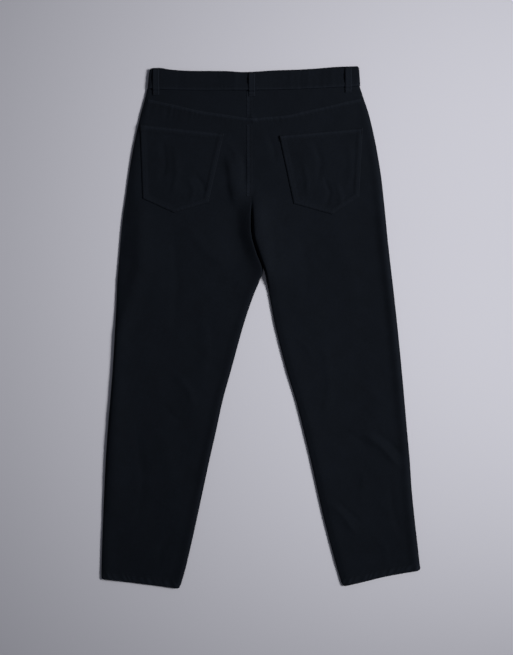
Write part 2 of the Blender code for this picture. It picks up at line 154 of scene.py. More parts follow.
@dataclass(frozen=True)
class Rim:
    """Cloth held up along a leg's edge by the bulk of its seam, with the crest a little inside.

    Its rise is given at a few heights y, from the hem up, because the seam lies unevenly.
    """

    at: float
    outside: float
    inside: float
    rises: tuple[Point, ...]

    def lift(self, depth: np.ndarray, y: np.ndarray) -> np.ndarray:
        """Height that the rim adds.

        Args:
            depth: Distances from the leg's edge.
            y: Places along the garment.

        Returns:
            The height at each place, in millimetres.
        """
        away = (depth - self.at) / np.where(depth < self.at, self.outside, self.inside)
        tail = np.where(depth < self.at, away, away / 4.0)
        rise = np.interp(y, *zip(*self.rises))
        return rise * (0.7 * np.exp(-(away ** 2)) + 0.3 * np.exp(-(tail ** 2)))


LEFT_ROWS = tuple(LegRow(*row) for row in (
    (-525, -318.6, -162.6, 6.5), (-475, -318.4, -148.4, 6.5), (-385, -315.4, -128, 6.6),
    (-265, -310.2, -102.2, 6.6), (-205, -306.2, -88.6, 6.6), (-145, -301.2, -75.6, 6.6),
    (-85, -296.4, -59, 6.7), (5, -291, -34.2, 6.7), (65, -288, -14, 6.8),
    (95, -286.8, -1.4, 6.8), (115, -285.2, 4.6, 6.8), (151, -282.2, -7.8, 6.9),
    (183, -279.6, -16.8, 6.9), (225, -275.2, -19, 6.9), (265, -269.4, -17.8, 6.9),
    (305, -264, -17.8, 6.9), (365, -253.8, -17.8, 6.9), (425, -240.4, -17.8, 6.9),
    (457, -231.8, -17.8, 6.9), (480, -226.4, -17.8, 6.9),
))

RIGHT_ROWS = tuple(LegRow(*row) for row in (
    (-520, 321.4, 163.4, 6.5), (-475, 317.6, 149.8, 6.5), (-385, 307.4, 126, 6.6),
    (-325, 301.4, 112.2, 6.6), (-265, 297.4, 99, 6.6), (-205, 292, 84.4, 6.6),
    (-145, 286.8, 69, 6.6), (-85, 281.4, 50.6, 6.7), (5, 272.6, 27.6, 6.7),
    (65, 266, 16.2, 6.8), (95, 262.6, 10, 6.8), (115, 260.2, 5.6, 6.8),
    (151, 256, -7.8, 6.9), (183, 252.6, -16.8, 6.9), (225, 248.6, -19, 6.9),
    (265, 244.4, -17.8, 6.9), (305, 239.8, -17.8, 6.9), (365, 229.6, -17.8, 6.9),
    (425, 216, -17.8, 6.9), (457, 205.4, -17.8, 6.9), (480, 198, -17.8, 6.9),
))

# Ripples below the left end of the yoke and at the bulk where the seams cross
SEAT_PUCKERS = (
    Pucker(((-228, 438), (-150, 422)), 13, 14, 0.5),
    Pucker(((-150, 428), (-30, 405)), 8, 9, 0.18),
    Pucker(((0, 408), (200, 445)), 9, 10, 0.2),
)

LEFT_HEM = ((-318.6, -502), (-240, -511.6), (-160, -521.6))
RIGHT_HEM = ((163, -517), (201, -508.6), (250, -497), (319, -484))
YOKE_SEAM = ((-233, 456), (-172, 443), (-125, 432), (-72, 424), (-17.8, 416.5),
             (6, 419), (54, 423), (84, 430), (126, 439.5), (206, 458))

BAND_ROWS = tuple(BandRow(*row) for row in (
    (-226.5, 478, 517), (-205, 476.4, 518.4), (-184, 475.4, 515.2), (-144, 474.4, 512.6),
    (-72, 474.2, 512), (-38, 474.2, 509.8), (-8, 474.4, 510.8), (24, 475, 513.2),
    (72, 476.2, 514.8), (104, 477.6, 516.6), (152, 480.2, 520.2), (198.5, 482.4, 521.8),
))

# Creases that the solids have too, then the smaller ones
LARGE_CREASES = (
    Crease(((-1, 250), (14, 100)), 9, 9, 1),
    Crease(((-50, 296), (-34, 246)), 15, 15, 1.8),
    Crease(((-66, 312), (-60, 256)), 9, 9, -1),
    Crease(((-212, 250), (-214, 5)), 24, 24, 1.1),
    Crease(((-256, -10), (-290, -420)), 18, 18, 0.9),
    Crease(((-96, 86), (-44, 88)), 9, 9, -0.8),
    Crease(((-172, -95), (-120, -175)), 17, 17, 0.9),
    Crease(((-200, -210), (-170, -330)), 16, 16, 0.8),
    Crease(((206, -208), (276, -274)), 12, 12, 1.3),
    Crease(((140, -350), (190, -408)), 12, 12, 1.2),
    Crease(((206, -40), (236, -190)), 18, 18, 0.8),
    Crease(((60, 180), (40, 60)), 16, 16, 0.8),
    Crease(((150, 200), (196, 30)), 20, 20, 0.8),
    Crease(((10, 372), (34, 320)), 13, 13, 0.9),
    Crease(((-120, -420), (-190, -452)), 14, 14, 0.7),
)

FORK_CREASES = (
    # The four seams' bulk holds the cloth up at the fork, and the right leg folds over the left
    Crease(((-18, 262), (-19, 225), (-17, 183), (-8, 151), (4, 115), (6, 86)),
           66, 25, 3.4, 0.28),
    Crease(((-9, 266), (-10, 225), (-8, 183), (1, 151), (13, 115), (16, 86)),
           30, 20, 7.6, 0.25),
    Crease(((-12, 262), (-12, 225), (-10, 183), (0, 151), (12, 115), (20, 80)),
           16, 5, 2.7, 0.25),
    # Hollow before the fold on the left leg
    Crease(((-51, 250), (-51, 225), (-47, 183), (-36, 150), (-24, 122)),
           14, 34, -4.4, 0.35),
    # Roll of cloth beside the centre seam, steep on its left
    Crease(((-66, 344), (-60, 312), (-58, 280), (-52, 258), (-46, 246)),
           22, 8, 4.2, 0.25),
    # Bulk where the yokes' seams meet the centre seam
    Crease(((-18, 426), (-18, 410)), 6, 6, 1.8),
)

SMALL_CREASES = (
    # Long fold down the outer side of the left leg, with the light on its right flank
    Crease(((-240, 268), (-242, 120), (-262, 50), (-286, -20), (-301, -361)),
           20, 16, 2.2, 0.18),
    Crease(((-262, 330), (-271, 225), (-282, 110)), 14, 9, -1.2),
    Crease(((-36, 352), (-32, 318), (-33, 280)), 5, 5, -0.9),
    # Drag lines on the seat and thighs
    Crease(((14, 388), (24, 362), (30, 330)), 5, 7, -0.6),
    Crease(((-70, 372), (-52, 350), (-46, 322)), 6, 5, 0.5),
    Crease(((-96, 90), (-70, 83), (-46, 86)), 3, 4, -0.7),
    Crease(((-84, 106), (-58, 100), (-36, 108)), 4, 4, 0.4),
    Crease(((-60, 64), (-40, 56)), 4, 4, -0.4),
    Crease(((-150, 210), (-110, 150), (-60, 120)), 12, 9, 0.5),
    Crease(((-176, 190), (-168, 90), (-176, -20)), 10, 7, -0.5),
    Crease(((-120, 40), (-108, -40), (-118, -130)), 9, 12, 0.45),
    Crease(((-170, -92), (-146, -120), (-130, -160)), 5, 8, 0.5),
    Crease(((-196, -150), (-176, -176), (-150, -190)), 5, 7, -0.45),
    Crease(((-250, -200), (-236, -300), (-246, -390)), 9, 7, -0.5),
    Crease(((-224, -330), (-196, -352), (-166, -350)), 5, 6, 0.35),
    Crease(((-176, -410), (-200, -440), (-204, -478)), 6, 6, -0.35),
    Crease(((32, 214), (40, 150), (32, 96)), 9, 7, 0.4),
    Crease(((76, 190), (92, 120), (90, 40)), 10, 12, -0.4),
    Crease(((62, -14), (88, -34), (104, -60)), 5, 6, 0.4),
    Crease(((124, -20), (136, -110), (128, -190)), 10, 8, 0.45),
    Crease(((206, -212), (240, -236), (276, -276)), 5, 7, 1.1, 0.25),
    Crease(((222, -206), (254, -226), (284, -258)), 5, 5, -0.7),
    Crease(((168, -206), (196, -222), (214, -240)), 5, 6, -0.4),
    Crease(((140, -352), (164, -374), (190, -410)), 5, 6, 0.7),
    Crease(((150, -344), (174, -366), (204, -392)), 4, 4, -0.5),
    Crease(((186, -270), (206, -300), (200, -344)), 8, 7, 0.4),
    Crease(((258, -300), (262, -360), (280, -420)), 8, 8, -0.45),
    Crease(((228, -420), (250, -444), (252, -474)), 6, 7, 0.35),
)

POCKET_CREASES = (
    Crease(((106, 372), (120, 330), (112, 290)), 7, 6, -0.55),
    Crease(((126, 300), (138, 268), (128, 240)), 5, 5, -0.6),
    Crease(((150, 290), (160, 262), (158, 240)), 5, 6, 0.5),
    Crease(((84, 330), (92, 296), (92, 262)), 6, 5, 0.45),
    Crease(((176, 372), (180, 320), (172, 276)), 7, 7, 0.4),
    Crease(((-196, 372), (-190, 326), (-198, 290)), 5, 7, -0.5),
    Crease(((-172, 360), (-168, 310), (-176, 262)), 8, 6, 0.5),
    Crease(((-132, 306), (-116, 286), (-112, 266)), 5, 5, -0.5),
    Crease(((-146, 300), (-134, 274), (-140, 248)), 5, 5, 0.4),
)

BAND_CREASES = (
    Crease(((60, 520), (58, 474)), 5, 5, 0.35, 0.1),
    Crease(((78, 520), (80, 474)), 4, 5, -0.35, 0.1),
    Crease(((94, 520), (93, 474)), 5, 4, 0.35, 0.1),
    Crease(((118, 520), (116, 474)), 5, 6, -0.3, 0.1),
    Crease(((140, 522), (142, 478)), 6, 5, 0.3, 0.1),
    Crease(((-50, 516), (-51, 474)), 3, 6, 0.4, 0.1),
    Crease(((-104, 516), (-102, 474)), 8, 6, 0.2, 0.1),
    Crease(((-160, 518), (-164, 474)), 6, 8, -0.2, 0.1),
)


def smooth_step(start: float, end: float, at: np.ndarray) -> np.ndarray:
    """Go softly from 0 to 1.

    Args:
        start: Where the value is 0.
        end: Where the value is 1.
        at: Where it is read.

    Returns:
        The value at each place.
    """
    t = np.clip((np.asarray(at, float) - start) / (end - start), 0.0, 1.0)
    return t * t * (3 - 2 * t)


def bell(away: np.ndarray, width: np.ndarray | float) -> np.ndarray:
    """1 in the middle, falling softly to nothing over a few widths."""
    return np.exp(-((away / width) ** 2))


def rounding(depth: np.ndarray, radius: np.ndarray | float) -> np.ndarray:
    """Drop of a round edge as a share: 1 at the rim, 0 from one radius in."""
    return 1 - np.sqrt(1 - np.clip(1 - depth / radius, 0.0, 1.0) ** 2)


def both_sides(half: Sequence[float]) -> np.ndarray:
    """Places from 0 outwards, with their mirror images before them."""
    places = np.array(half)
    return np.concatenate([-places[:0:-1], places])


class SmoothTable:
    """A smooth curve through the points of a table, straight beyond its ends."""

    def __init__(self, places: Sequence[float], values: Sequence[float]) -> None:
        """Keep the points and work out the slope at each.

        Args:
            places: Where the values hold, rising.
            values: The values there.
        """
        self.places = np.array(places, float)
        self.values = np.array(values, float)
        last = len(places) - 1
        low = np.maximum(np.arange(last + 1) - 1, 0)
        high = np.minimum(np.arange(last + 1) + 1, last)
        self.slopes = (self.values[high] - self.values[low]) / (self.places[high] - self.places[low])

    def __call__(self, at: np.ndarray) -> np.ndarray:
        """Read the curve.

        Args:
            at: Where it is read.

        Returns:
            Its value at each place.
        """
        at = np.asarray(at, float)
        index = np.clip(np.searchsorted(self.places, at, side="right") - 1, 0, len(self.places) - 2)
        span = self.places[index + 1] - self.places[index]
        whole = (at - self.places[index]) / span
        t = np.clip(whole, 0.0, 1.0)
        value = self.values[index] * (1 + 2 * t) * (1 - t) ** 2
        value += self.slopes[index] * span * t * (1 - t) ** 2
        value += self.values[index + 1] * t * t * (3 - 2 * t)
        value += self.slopes[index + 1] * span * t * t * (t - 1)
        end_slope = np.where(whole < 0, self.slopes[index], self.slopes[index + 1])
        return value + (whole - t) * span * end_slope


def along_path(path: Sequence[Point], x: np.ndarray, y: np.ndarray) -> tuple[np.ndarray, ...]:
    """Measure points against a path of straight stretches.

    Args:
        path: The path's corners.
        x: Places across the garment.
        y: Places along the garment.

    Returns:
        The distance to the path, positive on its left, and how far along it the nearest place is.
    """
    best = np.full(np.shape(x), np.inf)
    signed = np.zeros(np.shape(x))
    reached = np.zeros(np.shape(x))
    start = 0.0
    for index, (a, b) in enumerate(zip(path[:-1], path[1:])):
        run = (b[0] - a[0], b[1] - a[1])
        length = math.hypot(*run)
        t = ((x - a[0]) * run[0] + (y - a[1]) * run[1]) / length ** 2
        low = -np.inf if index == 0 else 0.0
        high = np.inf if index == len(path) - 2 else 1.0
        held = np.clip(t, 0.0, 1.0)
        away = np.hypot(x - a[0] - run[0] * held, y - a[1] - run[1] * held)
        side = run[0] * (y - a[1]) - run[1] * (x - a[0])
        nearer = away < best
        best = np.where(nearer, away, best)
        signed = np.where(nearer, np.copysign(away, side), signed)
        reached = np.where(nearer, start + np.clip(t, low, high) * length, reached)
        start += length
    return signed, reached


def path_length(path: Sequence[Point]) -> float:
    """Length of a path of straight stretches."""
    return sum(math.dist(a, b) for a, b in zip(path[:-1], path[1:]))


def crease_rise(creases: Sequence[Crease], x: np.ndarray, y: np.ndarray) -> np.ndarray:
    """Height that a set of creases adds.

    Args:
        creases: The creases.
        x: Places across the garment.
        y: Places along the garment.

    Returns:
        The height at each place, in millimetres.
    """
    total = np.zeros(np.shape(x))
    for crease in creases:
        signed, reached = along_path(crease.path, x, y)
        t = reached / path_length(crease.path)
        width = np.where(signed > 0, crease.left, crease.right)
        low_fade = smooth_step(-0.12, crease.fade, t)
        high_fade = smooth_step(1.12, 1 - crease.fade, t)
        total += crease.rise * low_fade * high_fade * bell(signed, width)
    return total


def pucker_rise(puckers: Sequence[Pucker], x: np.ndarray, y: np.ndarray) -> np.ndarray:
    """Height that the ripples beside seams add.

    Args:
        puckers: The rippled seams.
        x: Places across the garment.
        y: Places along the garment.

    Returns:
        The height at each place, in millimetres.
    """
    total = np.zeros(np.shape(x))
    for number, pucker in enumerate(puckers):
        signed, reached = along_path(pucker.path, x, y)
        turn = 2 * math.pi / pucker.period
        place = reached + pucker.slant * signed
        drift = 1.3 * np.sin(place * turn * 0.23 + number) + 0.8 * np.sin(place * turn * 0.41 + 2.0)
        size = 0.65 + 0.35 * np.sin(place * turn * 0.31 + 1.7 * number)
        total += pucker.rise * size * np.sin(place * turn + drift) * bell(signed, pucker.reach)
    return total


def unevenness(x: np.ndarray, y: np.ndarray) -> np.ndarray:
    """Slight waviness of washed cloth, from a few crossing waves.

    Args:
        x: Places across the garment.
        y: Places along the garment.

    Returns:
        The height at each place, in millimetres.
    """
    total = np.zeros(np.shape(x))
    for length, heading, phase, rise in (
        (97.0, 0.35, 0.4, 0.16),
        (61.0, 1.25, 2.1, 0.12),
        (43.0, 2.3, 4.0, 0.09),
        (27.0, 0.8, 1.1, 0.05),
        (19.0, 1.9, 5.2, 0.035),
        (13.0, 2.8, 3.3, 0.02),
    ):
        bend = 0.9 * np.sin((x * 0.011 - y * 0.007) + phase) + 0.7 * np.sin(y * 0.019 + 2 * phase)
        reach = x * math.cos(heading) + y * math.sin(heading)
        total += rise * np.sin(reach * 2 * math.pi / length + phase + bend)
    return total


YOKE_LINE = SmoothTable(*zip(*YOKE_SEAM))
BAND_SEAM = SmoothTable([row.x for row in BAND_ROWS], [row.seam for row in BAND_ROWS])
BAND_TOP = SmoothTable([row.x for row in BAND_ROWS], [row.top for row in BAND_ROWS])


def fork_share(y: np.ndarray) -> np.ndarray:
    """0 where the halves meet in a centre seam, 1 where each leg closes in its own inseam."""
    return smooth_step(SIZES.fork_top, SIZES.fork_bottom, y)


@dataclass
class Leg:
    """One half of the jeans: its edges, its hem and the height of its upper cloth."""

    name: str
    rows: tuple[LegRow, ...]
    hem_points: tuple[Point, ...]
    fork_narrowing: float
    outer_rim: Rim
    inner_rim: Rim
    tuck: float
    puckers: tuple[Pucker, ...] = ()
    inward: float = field(init=False)
    outer: SmoothTable = field(init=False)
    line: SmoothTable = field(init=False)
    crown: SmoothTable = field(init=False)
    hem: SmoothTable = field(init=False)

    def __post_init__(self) -> None:
        """Turn the tables into curves."""
        y = [row.y for row in self.rows]
        self.outer = SmoothTable(y, [row.outer for row in self.rows])
        self.line = SmoothTable(y, [row.inner for row in self.rows])
        self.crown = SmoothTable(y, [row.crown for row in self.rows])
        self.hem = SmoothTable(*zip(*self.hem_points))
        self.inward = math.copysign(1.0, self.rows[0].inner - self.rows[0].outer)

    def inner(self, y: np.ndarray) -> np.ndarray:
        """Inseam, or centre seam above the fork, set back from the true line by half the gap."""
        return self.line(y) - self.inward * (SIZES.seam_gap / 2 + SIZES.leg_gap * fork_share(y))

    def inner_radius(self, y: np.ndarray) -> np.ndarray:
        """How far the cloth rounds over at the inseam, narrower beside the fork."""
        beside = smooth_step(290.0, 235.0, y) * smooth_step(60.0, 120.0, y)
        return SIZES.edge_radius - self.fork_narrowing * beside

    def plain_top(self, x: np.ndarray, y: np.ndarray) -> np.ndarray:
        """Height of the upper cloth with only its large folds, as the solids have it."""
        outer = self.outer(y)
        across = (x - outer) / (self.inner(y) - outer)
        sag = SIZES.edge_sag * (2 * across - 1) ** 4 * np.where(across < 0.5, 1.0, fork_share(y))
        return self.crown(y) - sag + crease_rise(LARGE_CREASES, x, y)

    def top(self, x: np.ndarray, y: np.ndarray) -> np.ndarray:
        """Height of the upper cloth with all its folds.

        The seams' bulk lifts it along the edges of the leg, and it sags between them.
        """
        outer, inner = self.outer(y), self.inner(y)
        share = fork_share(y)
        height = self.plain_top(x, y) + crease_rise(FORK_CREASES, x, y)
        height = height + SIZES.crease_depth * crease_rise(SMALL_CREASES, x, y)
        height = height + self.outer_rim.lift((x - outer) * self.inward, y) * smooth_step(474.0, 425.0, y)
        inner_rise = self.inner_rim.lift((inner - x) * self.inward, y)
        height = height + inner_rise * share * smooth_step(130.0, 70.0, y)
        across = np.clip((x - outer) / (inner - outer), 0.0, 1.0)
        height = height - SIZES.leg_sag * np.sin(across * math.pi) ** 2 * smooth_step(290.0, 150.0, y)
        height = height + pucker_rise(self.puckers + SEAT_PUCKERS, x, y)
        return height + SIZES.waviness * unevenness(x, y)

    def skin(self, x: np.ndarray, y: np.ndarray) -> np.ndarray:
        """Height of the upper cloth, with its rounding down to the seams."""
        height = self.top(x, y)
        share = fork_share(y)
        for depth, radius, seam, turn in (
            ((x - self.outer(y)) * self.inward, SIZES.edge_radius, SIZES.edge_height, 1.0),
            ((self.inner(y) - x) * self.inward, self.inner_radius(y), self.seam_height(y), share),
        ):
            height = height - turn * (height - seam) * rounding(depth, radius)
        return height

    def tuck_share(self, y: np.ndarray) -> np.ndarray:
        """1 where the front panel reaches under the other leg at the fork."""
        reach = smooth_step(262.0, 252.0, y) * smooth_step(104.0, 122.0, y)
        return reach if self.tuck else np.zeros_like(reach)

    def seam_height(self, y: np.ndarray) -> np.ndarray:
        """Height of the inseam, pressed down where the other leg lies against it."""
        return SIZES.edge_height - SIZES.tuck_drop * self.tuck_share(y)


def hem_path(points: tuple[Point, ...], lift: float) -> tuple[Point, ...]:
    """A hem's lower edge moved up the leg by lift."""
    return tuple((x, y + lift) for x, y in points)


LEFT = Leg("left", LEFT_ROWS, LEFT_HEM, 4.0,
           Rim(13.0, 8.0, 12.0, ((-500.0, 1.4), (-250.0, 1.0), (100.0, 1.0), (300.0, 1.4))),
           Rim(7.0, 6.0, 9.0, ((-500.0, 2.2), (-405.0, 2.2), (-245.0, 4.0), (-105.0, 2.6), (35.0, 2.4))),
           SIZES.tuck, (Pucker(hem_path(LEFT_HEM, 9.0), 8.0, 13.0, 0.42, 0.7),))
RIGHT = Leg("right", RIGHT_ROWS, RIGHT_HEM, 2.0,
            Rim(9.0, 7.0, 9.5, ((-500.0, 3.6), (-405.0, 4.0), (-245.0, 3.0), (-105.0, 4.4), (35.0, 6.0),
                                (200.0, 5.0), (320.0, 3.6), (420.0, 2.0))),
            Rim(15.0, 8.0, 16.0, ((-500.0, 1.6), (-250.0, 2.0), (60.0, 1.4))),
            0.0, (Pucker(hem_path(RIGHT_HEM, 9.0), 8.0, 13.5, 0.42, -0.7),))


def linear(value: str) -> tuple[float, float, float, float]:
    """Turn an sRGB hex colour into a linear one.

    Args:
        value: Six hex digits after a number sign.

    Returns:
        Red, green, blue and full alpha.
    """
    parts = [int(value[i:i + 2], 16) / 255 for i in (1, 3, 5)]
    parts = [p / 12.92 if p <= 0.04045 else ((p + 0.055) / 1.055) ** 2.4 for p in parts]
    return (*parts, 1.0)


def add_node(tree: bpy.types.NodeTree, kind: str, settings: dict | None = None,
             links: dict | None = None) -> bpy.types.Node:
    """Add a node to a material.

    Args:
        tree: The material's node tree.
        kind: The node's type.
        settings: Values of its properties, or of its sockets by name.
        links: Output sockets that feed its inputs, by the input's name or number.

    Returns:
        The node.
    """
    node = tree.nodes.new(kind)
    for key, value in (settings or {}).items():
        if isinstance(key, str) and hasattr(node, key):
            setattr(node, key, value)
        else:
            node.inputs[key].default_value = value
    for key, output in (links or {}).items():
        tree.links.new(output, node.inputs[key])
    return node


def start_material(name: str) -> tuple[bpy.types.Material, bpy.types.NodeTree, bpy.types.Node]:
    """Start a material from its shader.

    Args:
        name: The material's name.

    Returns:
        The material, its node tree and its shader.
    """
    material = bpy.data.materials.new(name)
    material.use_nodes = True
    tree = material.node_tree
    return material, tree, tree.nodes["Principled BSDF"]


@dataclass(frozen=True)
class DenimFinish:
    """Overdyed black denim: a right-hand twill of dull cotton with a faint cool cast.

    Its fuzz gives a weak sheen at low angles. Seam ridges, edges and hem ripples are coloured lighter,
    partly as dye rubbed off there and partly as a painted highlight where they catch the light.
    """

    name: str = "overdyed black denim"
    dark: str = "#0c0f14"
    light: str = "#11151c"
    # Lighter colour for ridges and edges: partly rubbed dye, partly a painted highlight
    worn_and_lit: str = "#1f242d"
    roughness: float = 0.9
    specular: float = 0.05
    sheen: float = 0.006
    twill_mm: float = 1.1
    twill_bump: float = 0.22

    def build(self) -> bpy.types.Material:
        """Make the material.

        Returns:
            The material.
        """
        material, tree, shader = start_material(self.name)
        place = add_node(tree, "ShaderNodeTexCoord").outputs["Object"]
        broad = add_node(tree, "ShaderNodeTexNoise", {"Scale": 22.0, "Detail": 4.0, "Roughness": 0.55},
                         {"Vector": place})
        fine = add_node(tree, "ShaderNodeTexNoise", {"Scale": 420.0, "Detail": 3.0}, {"Vector": place})
        mixed = add_node(tree, "ShaderNodeMath", {"operation": "MULTIPLY_ADD", 1: 0.45},
                         {0: broad.outputs["Fac"], 2: fine.outputs["Fac"]})
        ramp = add_node(tree, "ShaderNodeMapRange", {"From Min": 0.4, "From Max": 1.05},
                        {"Value": mixed.outputs["Value"]})
        cloth = add_node(tree, "ShaderNodeMix", {"data_type": "RGBA", 6: linear(self.dark),
                                                 7: linear(self.light)},
                         {0: ramp.outputs["Result"]})
        # Lighter colour on seam ridges and edges, read per vertex: partly rubbed dye, partly a painted
        # highlight
        wear_and_highlight = add_node(tree, "ShaderNodeAttribute", {"attribute_name": "wear_and_highlight"})
        colour = add_node(tree, "ShaderNodeMix", {"data_type": "RGBA", 7: linear(self.worn_and_lit)},
                          {0: wear_and_highlight.outputs["Fac"], 6: cloth.outputs[2]})
        tree.links.new(colour.outputs[2], shader.inputs["Base Color"])
        # Twill lines climb to the right at about 60 degrees and repeat at the yarn spacing
        turned = add_node(tree, "ShaderNodeMapping", {"Rotation": (0.0, 0.0, math.radians(-28.0))},
                          {"Vector": place})
        twill = add_node(tree, "ShaderNodeTexWave", {"Scale": 1.0 / (self.twill_mm * MM) / 20.0 * math.pi,
                                                     "Distortion": 0.8, "Detail": 1.0,
                                                     "Detail Scale": 2.0},
                         {"Vector": turned.outputs["Vector"]})
        weave = add_node(tree, "ShaderNodeMath", {"operation": "MULTIPLY_ADD", 1: 0.6},
                         {0: fine.outputs["Fac"], 2: twill.outputs["Fac"]})
        bump = add_node(tree, "ShaderNodeBump", {"Strength": self.twill_bump, "Distance": 0.0004},
                        {"Height": weave.outputs["Value"]})
        tree.links.new(bump.outputs["Normal"], shader.inputs["Normal"])
        shader.inputs["Roughness"].default_value = self.roughness
        shader.inputs["Specular IOR Level"].default_value = self.specular
        shader.inputs["Sheen Weight"].default_value = self.sheen
        shader.inputs["Sheen Roughness"].default_value = 0.45
        shader.inputs["Sheen Tint"].default_value = linear("#b8c0d8")
        return material


@dataclass(frozen=True)
class ThreadFinish:
    """Black polyester topstitching thread, a shade smoother than the cloth round it."""

    name: str = "black polyester thread"
    colour: str = "#11151b"
    shade: str = "#0b0e12"
    roughness: float = 0.7
    specular: float = 0.12

    def build(self) -> bpy.types.Material:
        """Make the material.

        Returns:
            The material.
        """
        material, tree, shader = start_material(self.name)
        place = add_node(tree, "ShaderNodeTexCoord").outputs["Object"]
        ply = add_node(tree, "ShaderNodeTexNoise", {"Scale": 900.0, "Detail": 2.0}, {"Vector": place})
        shade = add_node(tree, "ShaderNodeMix", {"data_type": "RGBA", 6: linear(self.shade),
                                                 7: linear(self.colour)},
                         {0: ply.outputs["Fac"]})
        tree.links.new(shade.outputs[2], shader.inputs["Base Color"])
        shader.inputs["Roughness"].default_value = self.roughness
        shader.inputs["Specular IOR Level"].default_value = self.specular
        return material


@dataclass(frozen=True)
class MetalFinish:
    """Blackened brass button: a dark satin metal, brushed a little brighter in use."""

    name: str = "blackened brass"
    dark: str = "#3a3a3c"
    bright: str = "#5c5a58"

    def build(self) -> bpy.types.Material:
        """Make the material.

        Returns:
            The material.
        """
        material, tree, shader = start_material(self.name)
        place = add_node(tree, "ShaderNodeTexCoord").outputs["Object"]
        rub = add_node(tree, "ShaderNodeTexNoise", {"Scale": 300.0, "Detail": 5.0}, {"Vector": place})
        colour = add_node(tree, "ShaderNodeMix", {"data_type": "RGBA", 6: linear(self.dark),
                                                  7: linear(self.bright)},
                          {0: rub.outputs["Fac"]})
        tree.links.new(colour.outputs[2], shader.inputs["Base Color"])
        shader.inputs["Metallic"].default_value = 1.0
        shader.inputs["Roughness"].default_value = 0.38
        return material


@dataclass(frozen=True)
class FloorFinish:
    """Plain pale studio floor with a faint cool cast."""

    name: str = "pale floor"
    colour: str = "#c4c4cd"
    roughness: float = 0.75

    def build(self) -> bpy.types.Material:
        """Make the material.

        Returns:
            The material.
        """
        material, _, shader = start_material(self.name)
        shader.inputs["Base Color"].default_value = linear(self.colour)
        shader.inputs["Roughness"].default_value = self.roughness
        shader.inputs["Specular IOR Level"].default_value = 0.2
        return material


class Wardrobe:
    """The finishes, each made once."""

    def __init__(self) -> None:
        """Make every material."""
        self.denim = DenimFinish().build()
        self.thread = ThreadFinish().build()
        self.metal = MetalFinish().build()
        self.floor = FloorFinish().build()


def shell(name: str, outside: np.ndarray, inside: np.ndarray, material: bpy.types.Material,
          wear_and_highlight: np.ndarray | None = None) -> bpy.types.Object:
    """Close two grids of points into one thin wall.

    A flat grid is extruded for its second side, and each vertex moves to its own point.

    Args:
        name: The piece's name.
        outside: Rows by columns of points, in millimetres.
        inside: The same for the inner side.
        material: What it is made of.
        wear_and_highlight: How worn the cloth is at each point, and how much painted highlight it has,
            from 0 to 1.

    Returns:
        The piece.
    """
    height, width = outside.shape[:2]
    shape = bmesh.new()
    bmesh.ops.create_grid(shape, x_segments=width - 1, y_segments=height - 1, size=1.0)
    place_of = shape.verts.layers.int.new("place")
    # Per-vertex share of the lighter colour: rubbed dye together with painted highlight on ridges
    worn_and_lit = shape.verts.layers.float.new("wear_and_highlight")
    flat_out = (outside.reshape(-1, 3) * MM).tolist()
    flat_in = (inside.reshape(-1, 3) * MM).tolist()
    flat_wear_and_highlight = (np.zeros((height, width)) if wear_and_highlight is None else wear_and_highlight).reshape(-1).tolist()
    for vertex in shape.verts:
        column = round((vertex.co.x + 1) / 2 * (width - 1))
        row = round((vertex.co.y + 1) / 2 * (height - 1))
        index = row * width + column
        vertex[place_of] = index
        vertex[worn_and_lit] = flat_wear_and_highlight[index]
        vertex.co = flat_out[index]
    grown = bmesh.ops.extrude_face_region(shape, geom=shape.faces[:])
    for vertex in grown["geom"]:
        if isinstance(vertex, bmesh.types.BMVert):
            vertex.co = flat_in[vertex[place_of]]
    bmesh.ops.recalc_face_normals(shape, faces=shape.faces[:])
    shape.verts.layers.int.remove(shape.verts.layers.int["place"])
    return add_piece(name, shape, material)


def link_mesh(name: str, mesh: bpy.types.Mesh, material: bpy.types.Material) -> bpy.types.Object:
    """Put a finished mesh into the scene.

    Args:
        name: The piece's name.
        mesh: Its mesh.
        material: What it is made of.

    Returns:
        The piece.
    """
    mesh.materials.append(material)
    piece = bpy.data.objects.new(name, mesh)
    bpy.context.scene.collection.objects.link(piece)
    LOG.info("%s: %d faces", name, len(mesh.polygons))
    return piece


def add_piece(name: str, shape: bmesh.types.BMesh, material: bpy.types.Material) -> bpy.types.Object:
    """Turn a finished shape into a piece of the scene.

    Args:
        name: The piece's name.
        shape: The shape, which is used up.
        material: What it is made of.

    Returns:
        The piece.
    """
    mesh = bpy.data.meshes.new(name)
    shape.to_mesh(mesh)
    shape.free()
    mesh.shade_smooth()
    mesh.set_sharp_from_angle(angle=math.radians(50))
    return link_mesh(name, mesh, material)


@dataclass(frozen=True)
class Cut:
    """The flat cut of a piece of cloth, in millimetres, and the share of its box that it fills."""

    width: float
    length: float
    share: float = 1.0


def wear_cloth(piece: bpy.types.Object, nodes: Sequence[str]) -> None:
    """Say what a cloth piece rides on, and hide the solids that it stands for.

    Args:
        piece: The piece.
        nodes: The solids that it stands for.
    """
    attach(piece, BODY)
    if nodes:
        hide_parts(*nodes)


@dataclass
class Columns:
    """The places across a panel: on the arc at each edge, and on the flat between."""

    arc: int = 7
    flat: int = 56

    def parts(self) -> tuple[np.ndarray, np.ndarray, np.ndarray]:
        """Angles from the outer seam up, shares of the flat, and angles down to the inner seam."""
        angles = np.linspace(0.0, math.pi / 2, self.arc + 1)[:-1]
        return angles, np.linspace(0.0, 1.0, self.flat), angles[::-1]


